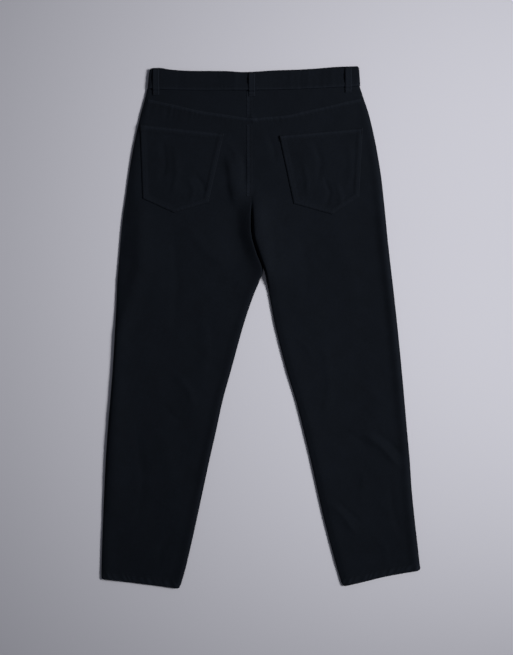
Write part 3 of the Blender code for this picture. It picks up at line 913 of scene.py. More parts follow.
@dataclass
class Panel:
    """A panel of one leg between two curves that run across it."""

    leg: Leg
    face: Face
    low: Across
    high: Across
    places: np.ndarray
    columns: Columns
    hem: bool = False

    def edge(self, line: Across, start: float) -> tuple[np.ndarray, ...]:
        """Where each row crosses an edge of the leg.

        Args:
            line: The edge, from y to x.
            start: A place x to start the search from.

        Returns:
            The x and y of the crossings.
        """
        x = np.full(self.places.shape, start)
        for _ in range(9):
            y = self.row_y(self.places, x)
            x = line(y)
        return x, y

    def inner_line(self, y: np.ndarray) -> np.ndarray:
        """The panel's inner edge; the front panel's reaches under the other leg at the fork."""
        reach = 0.0 if self.face is Face.UPPER else self.leg.tuck
        return self.leg.inner(y) + self.leg.inward * reach * self.leg.tuck_share(y)

    def row_y(self, places: np.ndarray, x: np.ndarray) -> np.ndarray:
        """Height y of a row at x."""
        low = self.low(x)
        return low + (self.high(x) - low) * places

    def points(self) -> tuple[np.ndarray, np.ndarray, np.ndarray]:
        """Work out the panel's points.

        Returns:
            The outer points, the inner points and the wear with its painted highlight, as rows by columns.
        """
        leg = self.leg
        facing = self.face.value
        upper = self.face is Face.UPPER
        outer_x, _ = self.edge(leg.outer, leg.rows[0].outer)
        inner_x, inner_y = self.edge(self.inner_line, SIZES.centre_x)
        radius = leg.inner_radius(inner_y)
        share = fork_share(inner_y)
        if not upper:
            share = share * (1 - leg.tuck_share(inner_y))
        angle_out, flat, angle_in = self.columns.parts()
        count = len(self.places)
        ones = np.ones(count)
        start = outer_x + leg.inward * SIZES.edge_radius
        end = inner_x - leg.inward * radius
        x = np.hstack([
            outer_x[:, None] + leg.inward * SIZES.edge_radius * (1 - np.cos(angle_out))[None, :],
            start[:, None] + (end - start)[:, None] * flat[None, :],
            inner_x[:, None] - leg.inward * radius[:, None] * (1 - np.cos(angle_in))[None, :],
        ])
        quarter = np.full(len(flat), math.pi / 2)
        angle = np.concatenate([angle_out, quarter, angle_in])[None, :] * ones[:, None]
        side = np.concatenate([np.full(len(angle_out), -leg.inward), np.zeros(len(flat)),
                               np.full(len(angle_in), leg.inward)])[None, :] * ones[:, None]
        turn = np.hstack([np.ones((count, len(angle_out))), np.zeros((count, len(flat))),
                          np.repeat(share[:, None], len(angle_in), axis=1)])
        reach = np.hstack([np.full((count, len(angle_out) + len(flat)), SIZES.edge_radius),
                           np.repeat(radius[:, None], len(angle_in), axis=1)])
        y = self.row_y(self.places[:, None], x)
        inner_side = np.zeros(x.shape[1])
        inner_side[len(angle_out) + len(flat):] = 1.0
        seam = SIZES.edge_height + facing * SIZES.seam_gap / 2
        if upper:
            seam = seam + (leg.seam_height(inner_y) - SIZES.edge_height)[:, None] * inner_side
        thick, rise, corner = self.hem_form()
        top = leg.top(x, y) + rise[:, None] if upper else np.zeros_like(x)
        drop = turn * np.abs(top - seam)
        z = top - facing * drop * (1 - np.sin(angle))
        bend = turn * math.pi / 2
        at_seam = (np.sin(angle) == 0.0)
        flat_drop = np.maximum(drop, 1e-6)
        lean = np.where(at_seam, np.sin(bend), np.cos(angle) / reach)
        rising = np.where(at_seam, np.cos(bend), np.sin(angle) / flat_drop)
        size = np.hypot(lean, rising)
        normal_x = side * lean / size
        normal_z = np.where(side == 0.0, facing, facing * rising / size)
        y = y + corner[:, None] * turn * (1 - np.sin(angle))
        outside = np.dstack([x, y, z])
        normal = np.dstack([normal_x, np.zeros_like(x), normal_z])
        # Near a seam the cloth turns in a smaller bend than its thickness allows, so it thins
        tightest = np.maximum(0.8 * drop ** 2 / reach, 0.5)
        whole = np.repeat(thick[:, None], x.shape[1], axis=1)
        thin = np.minimum(whole, whole + (tightest - whole) * turn * np.cos(angle))
        inside = outside - normal * np.where(side == 0.0, whole, thin)[:, :, None]
        return outside, inside, self.hem_wear_and_highlight(x, y)

    def hem_wear_and_highlight(self, x: np.ndarray, y: np.ndarray) -> np.ndarray:
        """Wear and painted highlight on the ripples of an upper panel's hem: the crests are lighter,
        partly as rubbed dye and partly as lit ridges.
        """
        if not self.hem or self.face is Face.LOWER:
            return np.zeros_like(x)
        ripple = pucker_rise(self.leg.puckers, x, y) / self.leg.puckers[0].rise
        in_hem = smooth_step(18.0, 8.0, self.places * SIZES.back_length)[:, None]
        return in_hem * np.clip(0.1 + 0.3 * ripple, 0.0, 1.0)

    def hem_form(self) -> tuple[np.ndarray, np.ndarray, np.ndarray]:
        """How thick, how raised and how rounded at its corners each row is."""
        if not self.hem:
            flat = np.zeros(self.places.shape)
            return flat + SIZES.cloth, flat, flat
        length = SIZES.back_length if self.face is Face.UPPER else SIZES.front_length
        along = self.places * length
        doubled = smooth_step(SIZES.hem_depth + 1.5, SIZES.hem_depth, along)
        rounded = SIZES.cloth * 0.35 * smooth_step(1.2, 0.0, along)
        thick = SIZES.cloth + (SIZES.hem_cloth - SIZES.cloth) * doubled - rounded
        rise = SIZES.hem_rise * doubled - rounded * 0.5
        corner = SIZES.hem_corner * smooth_step(9.0, 0.0, along)
        return thick, rise, corner

    def build(self, name: str, material: bpy.types.Material) -> bpy.types.Object:
        """Make the panel.

        Args:
            name: The piece's name.
            material: What it is made of.

        Returns:
            The piece.
        """
        outside, inside, wear_and_highlight = self.points()
        return shell(name, outside, inside, material, wear_and_highlight)


def panel_places(length: float, step: float) -> np.ndarray:
    """Shares of a panel's length where its rows lie, close together in the hem.

    Args:
        length: The panel's length.
        step: The spacing of rows above the hem.

    Returns:
        The shares, from the hem up.
    """
    hem = np.array([0.0, 0.5, 1.2, 2.5, 4.0, 5.5, 7.0, 8.5, 10.0, 11.5, 12.8, 14.0, 15.2, 16.0, 16.7,
                    17.5, 19.0, 21.0])
    count = round((length - hem[-1]) / step)
    above = hem[-1] + (length - hem[-1]) * np.arange(1, count + 1) / count
    return np.concatenate([hem, above]) / length


@dataclass
class LegPanels:
    """The front and back panels of one leg."""

    leg: Leg
    back_cut: Cut
    front_cut: Cut
    back_step: float = 4.2
    front_step: float = 12.0

    def back(self) -> Panel:
        """The upper panel."""
        return Panel(self.leg, Face.UPPER, self.leg.hem, lambda x: YOKE_LINE(x) - SIZES.seam_gap / 2,
                     panel_places(SIZES.back_length, self.back_step), Columns(8, 84), True)

    def front(self) -> Panel:
        """The panel on the ground."""
        return Panel(self.leg, Face.LOWER, self.leg.hem,
                     lambda x: BAND_SEAM(x) - front_dip(x) - SIZES.band_gap,
                     panel_places(SIZES.front_length, self.front_step), Columns(5, 16), True)

    def build(self, wardrobe: Wardrobe) -> None:
        """Make both panels.

        Args:
            wardrobe: The finishes.
        """
        name = self.leg.name
        back = self.back().build(f"back_panel_cloth_{name}", wardrobe.denim)
        wear_cloth(back, [f"back_panel_{name}"])
        front = self.front().build(f"front_panel_cloth_{name}", wardrobe.denim)
        wear_cloth(front, [f"front_panel_{name}"])


def front_dip(x: np.ndarray) -> np.ndarray:
    """How much lower the waist lies at the front than at the back."""
    x = np.asarray(x, float)
    side = np.where(x < SIZES.centre_x, BAND_ROWS[0].x, BAND_ROWS[-1].x)
    share = np.clip((x - side) / (SIZES.centre_x - side), 0.0, 1.0)
    return 2.0 * np.sin(share * math.pi / 2) ** 2


@dataclass
class Yoke:
    """The piece between a back panel and the waistband."""

    leg: Leg
    cut: Cut

    def build(self, wardrobe: Wardrobe) -> None:
        """Make the yoke.

        Args:
            wardrobe: The finishes.
        """
        name = self.leg.name
        panel = Panel(self.leg, Face.UPPER, lambda x: YOKE_LINE(x) + SIZES.seam_gap / 2,
                      lambda x: BAND_SEAM(x) - SIZES.band_gap, np.linspace(0.0, 1.0, 20), Columns(8, 84))
        piece = panel.build(f"yoke_cloth_{name}", wardrobe.denim)
        wear_cloth(piece, [f"yoke_{name}"])


@dataclass
class Waistband:
    """One strip round the waist, lapped over a button at the front."""

    cloth: float = 2.3
    height: float = 8.4
    radius: float = 4.2
    corner: float = 2.5
    bump: float = 1.5
    bump_flat: float = 12.0
    bump_reach: float = 62.0
    lean_left: float = 4.0
    lean_right: float = 2.5
    lean_reach: float = 90.0
    lap_gap: float = 0.3
    outer_lap_end: float = 5.0
    inner_lap_end: float = -52.0
    lap_rise_start: float = 40.0
    lap_rise_end: float = 12.0
    button_x: float = -30.0
    button_radius: float = 8.5
    button_height: float = 2.0
    button_flat: float = 11.0
    button_reach: float = 30.0
    button_reach_y: float = 18.0
    edge_roll: float = 1.6
    roll_drop: float = 0.7
    groove: float = 0.22
    groove_at: float = 3.0
    depth: float = 38.0
    seam_bulk: float = 1.0
    seam_bulk_at: float = 4.5
    hollow: float = 0.35
    hollow_at: float = 20.0
    rows: int = 22
    back_columns: int = 190

    def button_y(self) -> float:
        """Middle of the waistband's front at the button."""
        x = np.array(self.button_x)
        return float((BAND_SEAM(x) + BAND_TOP(x)) / 2 - front_dip(x))

    def button_lift(self, x: np.ndarray, y: np.ndarray) -> np.ndarray:
        """How far the button holds the lapped ends off the ground."""
        beside = smooth_step(self.button_reach, self.button_flat, np.abs(x - self.button_x))
        above = smooth_step(self.button_reach_y, self.button_radius, np.abs(y - self.button_y()))
        return (self.button_height + SIZES.seam_gap) * beside * above

    def plain_height(self, x: np.ndarray) -> np.ndarray:
        """Height of the upper face over the lapped ends and the button."""
        over = smooth_step(self.bump_reach, self.bump_flat, np.abs(x - self.button_x))
        return self.height + self.bump * over

    def surface(self, x: np.ndarray, y: np.ndarray) -> np.ndarray:
        """Height of the upper face with its ripples."""
        lower = Pucker(tuple((row.x, row.seam + 5.0) for row in BAND_ROWS), 7.0, 9.0, 0.22)
        upper = Pucker(tuple((row.x, row.top - 4.0) for row in BAND_ROWS), 6.0, 11.0, 0.12)
        ripple = SIZES.band_crease_depth * crease_rise(BAND_CREASES, x, y)
        ripple = ripple + pucker_rise((lower, upper), x, y)
        above = y - BAND_SEAM(x)
        flank = np.where(above < self.seam_bulk_at, 4.0, 9.0)
        bulk = self.seam_bulk * bell(above - self.seam_bulk_at, flank)
        hollow = self.hollow * bell(above - self.hollow_at, 5.0)
        return self.plain_height(x) + ripple + bulk - hollow + 0.5 * unevenness(x, y)

    def stretches(self) -> list[tuple[str, np.ndarray, np.ndarray | None]]:
        """Name, places across and, where the band folds over, the angles of its stretches in order."""
        flat_left, flat_right = BAND_ROWS[0].x + self.radius, BAND_ROWS[-1].x - self.radius
        arc = np.linspace(-math.pi / 2, math.pi / 2, 15)[1:-1]
        return [
            ("front", np.linspace(self.outer_lap_end, flat_left, 60), None),
            ("left", np.full(len(arc), flat_left), arc),
            ("back", np.linspace(flat_left, flat_right, self.back_columns), None),
            ("right", np.full(len(arc), flat_right), arc[::-1]),
            ("lap", np.linspace(flat_right, self.inner_lap_end, 90), None),
        ]

    def line(self, part: str, base: np.ndarray, bend: np.ndarray | None,
             share: float) -> tuple[np.ndarray, np.ndarray]:
        """Work out the outer face of one stretch at one height of the band.

        Args:
            part: The stretch's name.
            base: Its places across.
            bend: Its angles where it folds over.
            share: The height as a share, 0 at the seam and 1 at the top.

        Returns:
            The points and the directions that the cloth faces, one a row.
        """
        left, right = BAND_ROWS[0].x, BAND_ROWS[-1].x
        x = base.copy()
        z = np.zeros_like(x)
        normal = np.tile([0.0, 0.0, -1.0], (len(x), 1))
        corner = 0.0
        if bend is not None:
            side = -1.0 if part == "left" else 1.0
            middle = self.height / 2
            x = base + side * self.radius * np.cos(bend)
            z = middle + middle * np.sin(bend)
            normal = np.column_stack([side * np.cos(bend) / self.radius, np.zeros_like(x),
                                      np.sin(bend) / middle])
            normal /= np.linalg.norm(normal, axis=1)[:, None]
            corner = self.corner * np.cos(bend) ** 2 * float(smooth_step(0.75, 1.0, share))
        lower = part in ("front", "lap")
        dip = front_dip(x) if lower else 0.0
        y = BAND_SEAM(x) + (BAND_TOP(x) - BAND_SEAM(x)) * share - dip - corner
        lean = self.lean_left * share * smooth_step(self.lean_reach, 0.0, np.abs(x - left))
        lean -= self.lean_right * share * smooth_step(self.lean_reach, 0.0, np.abs(x - right))
        if lower:
            z = self.button_lift(x, y)
        if part == "lap":
            z = z + (self.cloth + self.lap_gap) * smooth_step(self.lap_rise_start, self.lap_rise_end, x)
        if part == "back":
            z = self.surface(x, y)
            normal = np.tile([0.0, 0.0, 1.0], (len(x), 1))
        return np.column_stack([x + lean, y, z]), normal

    def build(self, wardrobe: Wardrobe) -> None:
        """Make the waistband.

        Args:
            wardrobe: The finishes.
        """
        rim = np.array([0.0, 0.4, 1.0, 1.8])
        inner_rows = np.linspace(3.2, self.depth - 3.2, self.rows - 8)
        shares = np.concatenate([rim, inner_rows, self.depth - rim[::-1]]) / self.depth
        outside, inside = [], []
        for share in shares:
            edge = min(share, 1 - share) * self.depth
            roll = self.roll_drop * rounding(edge, self.edge_roll)
            groove = self.groove * bell(edge - self.groove_at, 0.9)
            line_out, line_in = [], []
            for part, base, bend in self.stretches():
                out, normal = self.line(part, base, bend, share)
                inset = roll + (groove if part in ("back", "left", "right") else 0.0)
                line_in.append(out - normal * (self.cloth - roll))
                line_out.append(out - normal * inset if part != "front" or share in (0.0, 1.0) else out)
            outside.append(np.vstack(line_out))
            inside.append(np.vstack(line_in))
        outside, inside = np.array(outside), np.array(inside)
        # Lighter along the lower seam and the top edge: partly dye rubbed off there, partly a painted
        # highlight on the rolled edges
        worn_and_lit = 0.35 * bell(shares * self.depth, 3.0) + 0.2 * bell((1 - shares) * self.depth, 1.5)
        wear_and_highlight = np.repeat(worn_and_lit[:, None], outside.shape[1], axis=1)
        piece = shell("waistband_cloth", outside, inside, wardrobe.denim, wear_and_highlight)
        wear_cloth(piece, ["waistband"])


@dataclass(frozen=True)
class PocketShape:
    """The corners of a five-sided patch pocket, in millimetres."""

    name: str
    upper_left: Point
    upper_right: Point
    lower_right: Point
    point: Point
    lower_left: Point

    def outline(self) -> list[Point]:
        """The corners, clockwise from the upper left."""
        return [self.upper_left, self.upper_right, self.lower_right, self.point, self.lower_left]


@dataclass
class PatchPocket:
    """A back pocket: a turned-under patch on the back panel with a hemmed mouth."""

    shape: PocketShape
    leg: Leg
    cut: Cut
    hem: float = 13.0
    cloth: float = 1.0
    puff: float = 0.7
    hem_fold: float = 0.8
    side_fold: float = 1.0
    edge_radius: float = 3.2
    reach: float = 165.0
    step: float = 2.2

    def spot(self, a: np.ndarray, b: np.ndarray) -> tuple[np.ndarray, np.ndarray]:
        """Place of a point given by its share across and its share down the pocket."""
        shape = self.shape
        turn = self.bend()
        lower_left, point, lower_right = map(np.array, (shape.lower_left, shape.point, shape.lower_right))
        upper_left, upper_right = np.array(shape.upper_left), np.array(shape.upper_right)
        a3, b3 = a[..., None], b[..., None]
        top = upper_left + (upper_right - upper_left) * a3
        first = lower_left + (point - lower_left) * np.clip(a3 / turn, 0.0, 1.0)
        second = (lower_right - point) * np.clip((a3 - turn) / (1 - turn), 0.0, 1.0)
        place = top + (first + second - top) * b3
        return place[..., 0], place[..., 1]

    def bend(self) -> float:
        """Share across the pocket where its point lies."""
        shape = self.shape
        return (shape.point[0] - shape.lower_left[0]) / (shape.lower_right[0] - shape.lower_left[0])

    def edge_distance(self, x: np.ndarray, y: np.ndarray) -> np.ndarray:
        """Distance to the nearest side below the mouth."""
        corners = self.shape.outline()
        path = corners[1:] + corners[:1]
        signed, _ = along_path(path, x, y)
        return np.abs(signed)

    def mouth_distance(self, x: np.ndarray, y: np.ndarray) -> np.ndarray:
        """Distance below the mouth."""
        signed, _ = along_path((self.shape.upper_left, self.shape.upper_right), x, y)
        return np.abs(signed)

    def height(self, x: np.ndarray, y: np.ndarray) -> np.ndarray:
        """Height of the pocket's face."""
        side = self.edge_distance(x, y)
        mouth = self.mouth_distance(x, y)
        corners = self.shape.outline()
        edges = Pucker(tuple(corners[1:] + corners[:1]), 7.0, 8.5, 0.3)
        hem = Pucker(tuple(corners[:2]), 12.0, 9.0, 0.24, 0.4)
        lift = SIZES.seam_gap + self.cloth
        lift = lift + self.hem_fold * smooth_step(self.hem + 1.2, self.hem, mouth)
        lift = lift + 0.5 * bell(mouth - 3.5, 3.5)
        lift = lift + self.side_fold * smooth_step(12.5, 8.5, side)
        lift = lift - 0.2 * (bell(side - 2.0, 0.8) + bell(side - 8.0, 0.8))
        inner = smooth_step(8.0, 45.0, side) * smooth_step(8.0, 40.0, mouth)
        creases = SIZES.pocket_crease_depth * crease_rise(POCKET_CREASES, x, y)
        lift = lift + self.puff * inner + creases * smooth_step(3.0, 14.0, side)
        return self.leg.skin(x, y) + lift + pucker_rise((edges, hem), x, y)

    def build(self, wardrobe: Wardrobe) -> None:
        """Make the pocket.

        Args:
            wardrobe: The finishes.
        """
        edge = np.array([0.0, 0.25, 0.7, 1.3, 2.0, 2.8, 3.4]) / self.reach
        count = round((self.reach - 5.0) / self.step)
        middle = np.linspace(4.0, self.reach - 4.0, count) / self.reach
        line = np.concatenate([edge, middle, 1 - edge[::-1]])
        turn = self.bend()
        across = np.unique(np.append(line, turn))
        a, b = np.meshgrid(across, line)
        x, y = self.spot(a, 1 - b)
        side = np.minimum(self.edge_distance(x, y), self.mouth_distance(x, y))
        floor = self.leg.skin(x, y) + 0.12
        height = self.height(x, y)
        z = height - (height - floor - 0.3) * rounding(side, self.edge_radius)
        # Lighter along the sides and the mouth: partly dye rubbed off the raised edges, partly a painted
        # highlight on them
        wear_and_highlight = 0.12 * bell(side - 4.0, 4.0) + 0.15 * bell(self.mouth_distance(x, y) - 3.0, 3.0)
        piece = shell(f"back_pocket_cloth_{self.leg.name}", np.dstack([x, y, z]), np.dstack([x, y, floor]),
                      wardrobe.denim, wear_and_highlight)
        wear_cloth(piece, [self.shape.name])


@dataclass
class BeltLoop:
    """A folded strip over the waistband, caught down by a bar tack at each end."""

    name: str
    x: float
    leg: Leg
    band: Waistband
    width: float = 12.5
    cloth: float = 1.8
    clear: float = 0.4
    step: float = 4.0
    below: float = 12.5
    arch: float = 1.5

    def path_y(self) -> tuple[float, float, float]:
        """Lower end, the waistband's seam and the upper end."""
        seam = float(BAND_SEAM(np.array(self.x)))
        return seam - self.below, seam, float(BAND_TOP(np.array(self.x))) - 0.6

    def under(self, x: np.ndarray, y: np.ndarray) -> np.ndarray:
        """Height of the loop's lower face."""
        _, seam, top = self.path_y()
        sides = np.array([-1.0, 0.0, 1.0]) * self.width / 2 + self.x
        over = float(self.band.plain_height(sides).max()) + self.clear
        low = self.leg.plain_top(x, np.minimum(y, seam - self.step)) + self.clear
        share = smooth_step(seam - self.step, seam - 0.6, y)
        middle = np.clip((y - seam) / (top - seam), 0.0, 1.0)
        return low + (over - low) * share + self.arch * np.sin(middle * math.pi) ** 2

    def top(self, x: np.ndarray, y: np.ndarray) -> np.ndarray:
        """Height of the loop's upper face."""
        across = np.abs(x - self.x) / (self.width / 2)
        return self.under(x, y) + self.cloth - 0.12 * bell(across, 0.35)

    def build(self, wardrobe: Wardrobe) -> None:
        """Make the loop.

        Args:
            wardrobe: The finishes.
        """
        bottom, _, upper = self.path_y()
        across = both_sides((0.0, 0.2, 0.4, 0.6, 0.75, 0.88, 0.97, 1.0))
        end = np.array([0.0, 0.2, 0.6, 1.2])
        along = np.concatenate([bottom + end, np.linspace(bottom + 2.0, upper - 2.0, 44),
                                upper - end[::-1]])
        a, y = np.meshgrid(across, along)
        ripple = 0.18 * np.sin(y * 0.9) * np.sign(a) * np.abs(a) ** 3
        x = self.x + a * self.width / 2 + ripple
        away = np.minimum((1 - np.abs(a)) * self.width / 2, np.minimum(y - bottom, upper - y))
        roll = 0.8 * rounding(away, 1.0)
        # The whole loop is coloured lighter, more so at its edges: partly rubbed dye, partly a painted
        # highlight on the raised strip
        wear_and_highlight = 0.2 + 0.2 * bell(away, 1.2)
        piece = shell(f"{self.name}_cloth", np.dstack([x, y, self.top(x, y) - roll]),
                      np.dstack([x, y, self.under(x, y) + 0.05]), wardrobe.denim, wear_and_highlight)
        wear_cloth(piece, [self.name])


@dataclass
class FlyShield:
    """The strip inside the front that backs the fly, with one lower corner rounded."""

    left: float = -48.0
    width: float = 40.0
    length: float = 150.0
    corner: float = 26.0
    below_seam: float = 2.4
    lower_face: float = 1.9
    upper_face: float = 3.2

    def build(self, wardrobe: Wardrobe) -> None:
        """Make the fly shield.

        Args:
            wardrobe: The finishes.
        """
        top = float(BAND_SEAM(np.array(SIZES.centre_x))) - self.below_seam
        a, b = np.meshgrid(np.linspace(0.0, 1.0, 14), np.linspace(0.0, 1.0, 40))
        low = top - self.length + self.corner * rounding(self.width * a, self.corner)
        x = self.left + self.width * a
        y = low + (top - low) * b
        z = self.upper_face + 0.1 * np.sin(y / 9.0)
        lower = np.full_like(x, self.lower_face)
        piece = shell("fly_shield_cloth", np.dstack([x, y, z]), np.dstack([x, y, lower]), wardrobe.denim)
        wear_cloth(piece, ["fly_shield"])


@dataclass
class Fell:
    """A felled seam: one edge folded over the other and stitched flat.

    Its edge on the path's right stands proud and steps down, and its other side runs out flush.
    """

    name: str
    path: tuple[Point, ...]
    surface: Surface
    below: str
    width: float = 12.0
    rise: float = 1.4
    flush: float = 0.15
    edge_radius: float = 2.2

    def build(self, wardrobe: Wardrobe) -> None:
        """Make the fell.

        Args:
            wardrobe: The finishes.
        """
        length = path_length(self.path)
        along = np.linspace(0.0, length, max(round(length / 1.8), 8))
        across = both_sides((0.0, 0.25, 0.5, 0.7, 0.88, 0.97, 1.0))
        line = evenly(self.path, along)
        ahead = np.gradient(line, axis=0)
        ahead /= np.linalg.norm(ahead, axis=1)[:, None]
        normal = np.column_stack([-ahead[:, 1], ahead[:, 0]])
        offset = (across * self.width / 2)[None, :, None]
        place = line[:, None, :] + normal[:, None, :] * offset
        x, y = place[..., 0], place[..., 1]
        away = (1 - np.abs(across)) * self.width / 2
        height = self.height(across) * (1 - rounding(away, self.edge_radius))
        ripple = (np.sin(along * 2 * math.pi / 8.5 + 2.1 * np.sin(along * 0.13))
                  + 0.7 * np.sin(along * 2 * math.pi / 5.3 + 1.3 * np.sin(along * 0.31)))[:, None] * 0.09
        crown = np.sqrt(np.clip(1 - across ** 2, 0.0, 1.0))[None, :]
        z = self.surface(x, y) + height[None, :] + ripple * crown
        groove = 0.2 * bell(np.abs(across) - 0.52, 0.14)[None, :]
        # Lighter on the proud folded edge and on the ripples' crests: partly rubbed dye, partly a painted
        # highlight
        wear_and_highlight = np.clip(0.3 + 0.8 * ripple, 0.0, 0.9) * bell(across + 0.6, 0.6)[None, :]
        base = self.surface(x, y) - 0.5
        piece = shell(self.name, np.dstack([x, y, z - groove]), np.dstack([x, y, base]), wardrobe.denim,
                      wear_and_highlight)
        wear_cloth(piece, [])

    def height(self, across: np.ndarray) -> np.ndarray:
        """Height over the cloth below, at shares from -1 on the path's right to 1 on its left."""
        return self.flush + (self.rise - self.flush) * bell(across + 0.6, 0.75)

    def top(self, away: float) -> Surface:
        """The height that a stitch row lies at, a distance to the path's left."""
        lift = float(self.height(np.array(away / self.width * 2))) - 0.1
        return lambda x, y: self.surface(x, y) + lift


def evenly(path: Sequence[Point], along: np.ndarray) -> np.ndarray:
    """Points at given distances along a path.

    Args:
        path: The path's corners.
        along: Distances from its start.

    Returns:
        One point a row.
    """
    corners = np.array(path, float)
    reached = np.concatenate([[0.0], np.cumsum(np.linalg.norm(np.diff(corners, axis=0), axis=1))])
    return np.column_stack([np.interp(along, reached, corners[:, 0]),
                            np.interp(along, reached, corners[:, 1])])


@dataclass
class StitchRow:
    """A row of lockstitch along a path on a surface."""

    path: np.ndarray
    surface: Surface
    pitch: float = 3.3
    fill: float = 0.78


@dataclass
class Stitching:
    """Thread that shows on one piece: rows of short stitches, and dense bar tacks."""

    name: str
    rows: list[StitchRow]
    thread: float = 0.55

    def stitch(self) -> tuple[np.ndarray, list[list[int]]]:
        """One stitch of unit length, as points and faces.

        It is a six-sided rod, bent into a low arch with its ends drawn in.

        Returns:
            The points and the faces.
        """
        shape = bmesh.new()
        bmesh.ops.create_cone(shape, cap_ends=True, segments=6, radius1=0.5, radius2=0.5, depth=1.0)
        long_edges = [e for e in shape.edges if abs(e.verts[0].co.z - e.verts[1].co.z) > 0.5]
        bmesh.ops.subdivide_edges(shape, edges=long_edges, cuts=3, use_grid_fill=True)
        shape.verts.ensure_lookup_table()
        for vertex in shape.verts:
            t = vertex.co.z * 2
            taper = math.sqrt(max(1 - 0.85 * t * t, 0.15))
            vertex.co = Vector((vertex.co.z, vertex.co.x * taper, vertex.co.y * taper))
        points = np.array([v.co for v in shape.verts])
        faces = [[v.index for v in f.verts] for f in shape.faces]
        shape.free()
        return points, faces

    def build(self, wardrobe: Wardrobe) -> None:
        """Make the stitches.

        Args:
            wardrobe: The finishes.
        """
        unit, unit_faces = self.stitch()
        all_points, all_faces = [], []
        for row in self.rows:
            line = [tuple(p) for p in row.path]
            length = path_length(line)
            count = max(int(length / row.pitch), 1)
            pitch = length / count
            mid = (np.arange(count) + 0.5) * pitch
            half = pitch * row.fill / 2
            a, b = evenly(line, mid - half), evenly(line, mid + half)
            za, zb = row.surface(a[:, 0], a[:, 1]), row.surface(b[:, 0], b[:, 1])
            start = np.column_stack([a, za])
            end = np.column_stack([b, zb])
            centre = (start + end) / 2
            run = end - start
            size = np.linalg.norm(run, axis=1)[:, None]
            ahead = run / size
            beside = np.cross(np.array([[0.0, 0.0, 1.0]]), ahead)
            beside /= np.linalg.norm(beside, axis=1)[:, None]
            above = np.cross(ahead, beside)
            bow = 0.3 * (1 - (2 * unit[:, 0]) ** 2) - 0.12
            points = (centre[:, None, :]
                      + ahead[:, None, :] * (unit[:, 0][None, :, None] * size[:, None, :])
                      + beside[:, None, :] * (unit[:, 1] * self.thread)[None, :, None]
                      + above[:, None, :] * (unit[:, 2] * self.thread + bow)[None, :, None])
            first = sum(len(p) for p in all_points)
            all_points.append(points.reshape(-1, 3))
            for index in range(count):
                shift = first + index * len(unit)
                all_faces += [[shift + v for v in face] for face in unit_faces]
        mesh = bpy.data.meshes.new(self.name)
        mesh.from_pydata((np.vstack(all_points) * MM).tolist(), [], all_faces)
        mesh.shade_smooth()
        piece = link_mesh(self.name, mesh, wardrobe.thread)
        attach(piece, BODY)


def offset_path(path: Sequence[Point], away: float) -> np.ndarray:
    """A path moved sideways, to its left for a positive distance, with its corners kept sharp.

    Args:
        path: The path's corners.
        away: How far it moves.

    Returns:
        The moved corners, one a row.
    """
    corners = np.array(path, float)
    run = np.diff(corners, axis=0)
    run /= np.linalg.norm(run, axis=1)[:, None]
    left = np.column_stack([-run[:, 1], run[:, 0]])
    moved = [corners[0] + left[0] * away]
    for index in range(1, len(corners) - 1):
        both = left[index - 1] + left[index]
        moved.append(corners[index] + both * away / (1 + left[index - 1] @ left[index]))
    moved.append(corners[-1] + left[-1] * away)
    return np.array(moved)


def bar_tack(start: Point, end: Point, surface: Surface, width: float = 1.6) -> StitchRow:
    """A dense zigzag between two points.

    Args:
        start: One end.
        end: The other end.
        surface: Height of what it is sewn to.
        width: How wide the zigzag is.

    Returns:
        The row of stitches.
    """
    a, b = np.array(start, float), np.array(end, float)
    run = (b - a) / np.linalg.norm(b - a)
    side = np.array([-run[1], run[0]]) * width / 2
    count = max(round(np.linalg.norm(b - a) / 0.45), 2)
    path = [a + (b - a) * i / count + side * (1 if i % 2 else -1) for i in range(count + 1)]
    return StitchRow(np.array(path), surface, pitch=1.7, fill=0.98)


@dataclass
class Floor:
    """The pale floor that the jeans lie on."""

    reach: float = 6.0

    def build(self, wardrobe: Wardrobe) -> None:
        """Make the floor.

        Args:
            wardrobe: The finishes.
        """
        shape = bmesh.new()
        bmesh.ops.create_grid(shape, x_segments=1, y_segments=1, size=self.reach)
        bmesh.ops.translate(shape, verts=shape.verts[:], vec=(0.0, 0.0, -0.00005))
        add_piece("floor", shape, wardrobe.floor)


@dataclass(frozen=True)
class Lamp:
    """A soft area lamp aimed at the jeans."""

    name: str
    place: tuple[float, float, float]
    aim: tuple[float, float, float]
    size: tuple[float, float]
    power: float
    colour: str
    spread: float

    def build(self) -> None:
        """Make the lamp."""
        data = bpy.data.lights.new(self.name, "AREA")
        data.shape = "RECTANGLE"
        data.size, data.size_y = self.size
        data.energy = self.power
        data.spread = math.radians(self.spread)
        data.color = linear(self.colour)[:3]
        lamp = bpy.data.objects.new(self.name, data)
        lamp.location = self.place
        heading = Vector(self.aim) - Vector(self.place)
        lamp.rotation_euler = heading.to_track_quat("-Z", "Y").to_euler()
        bpy.context.scene.collection.objects.link(lamp)


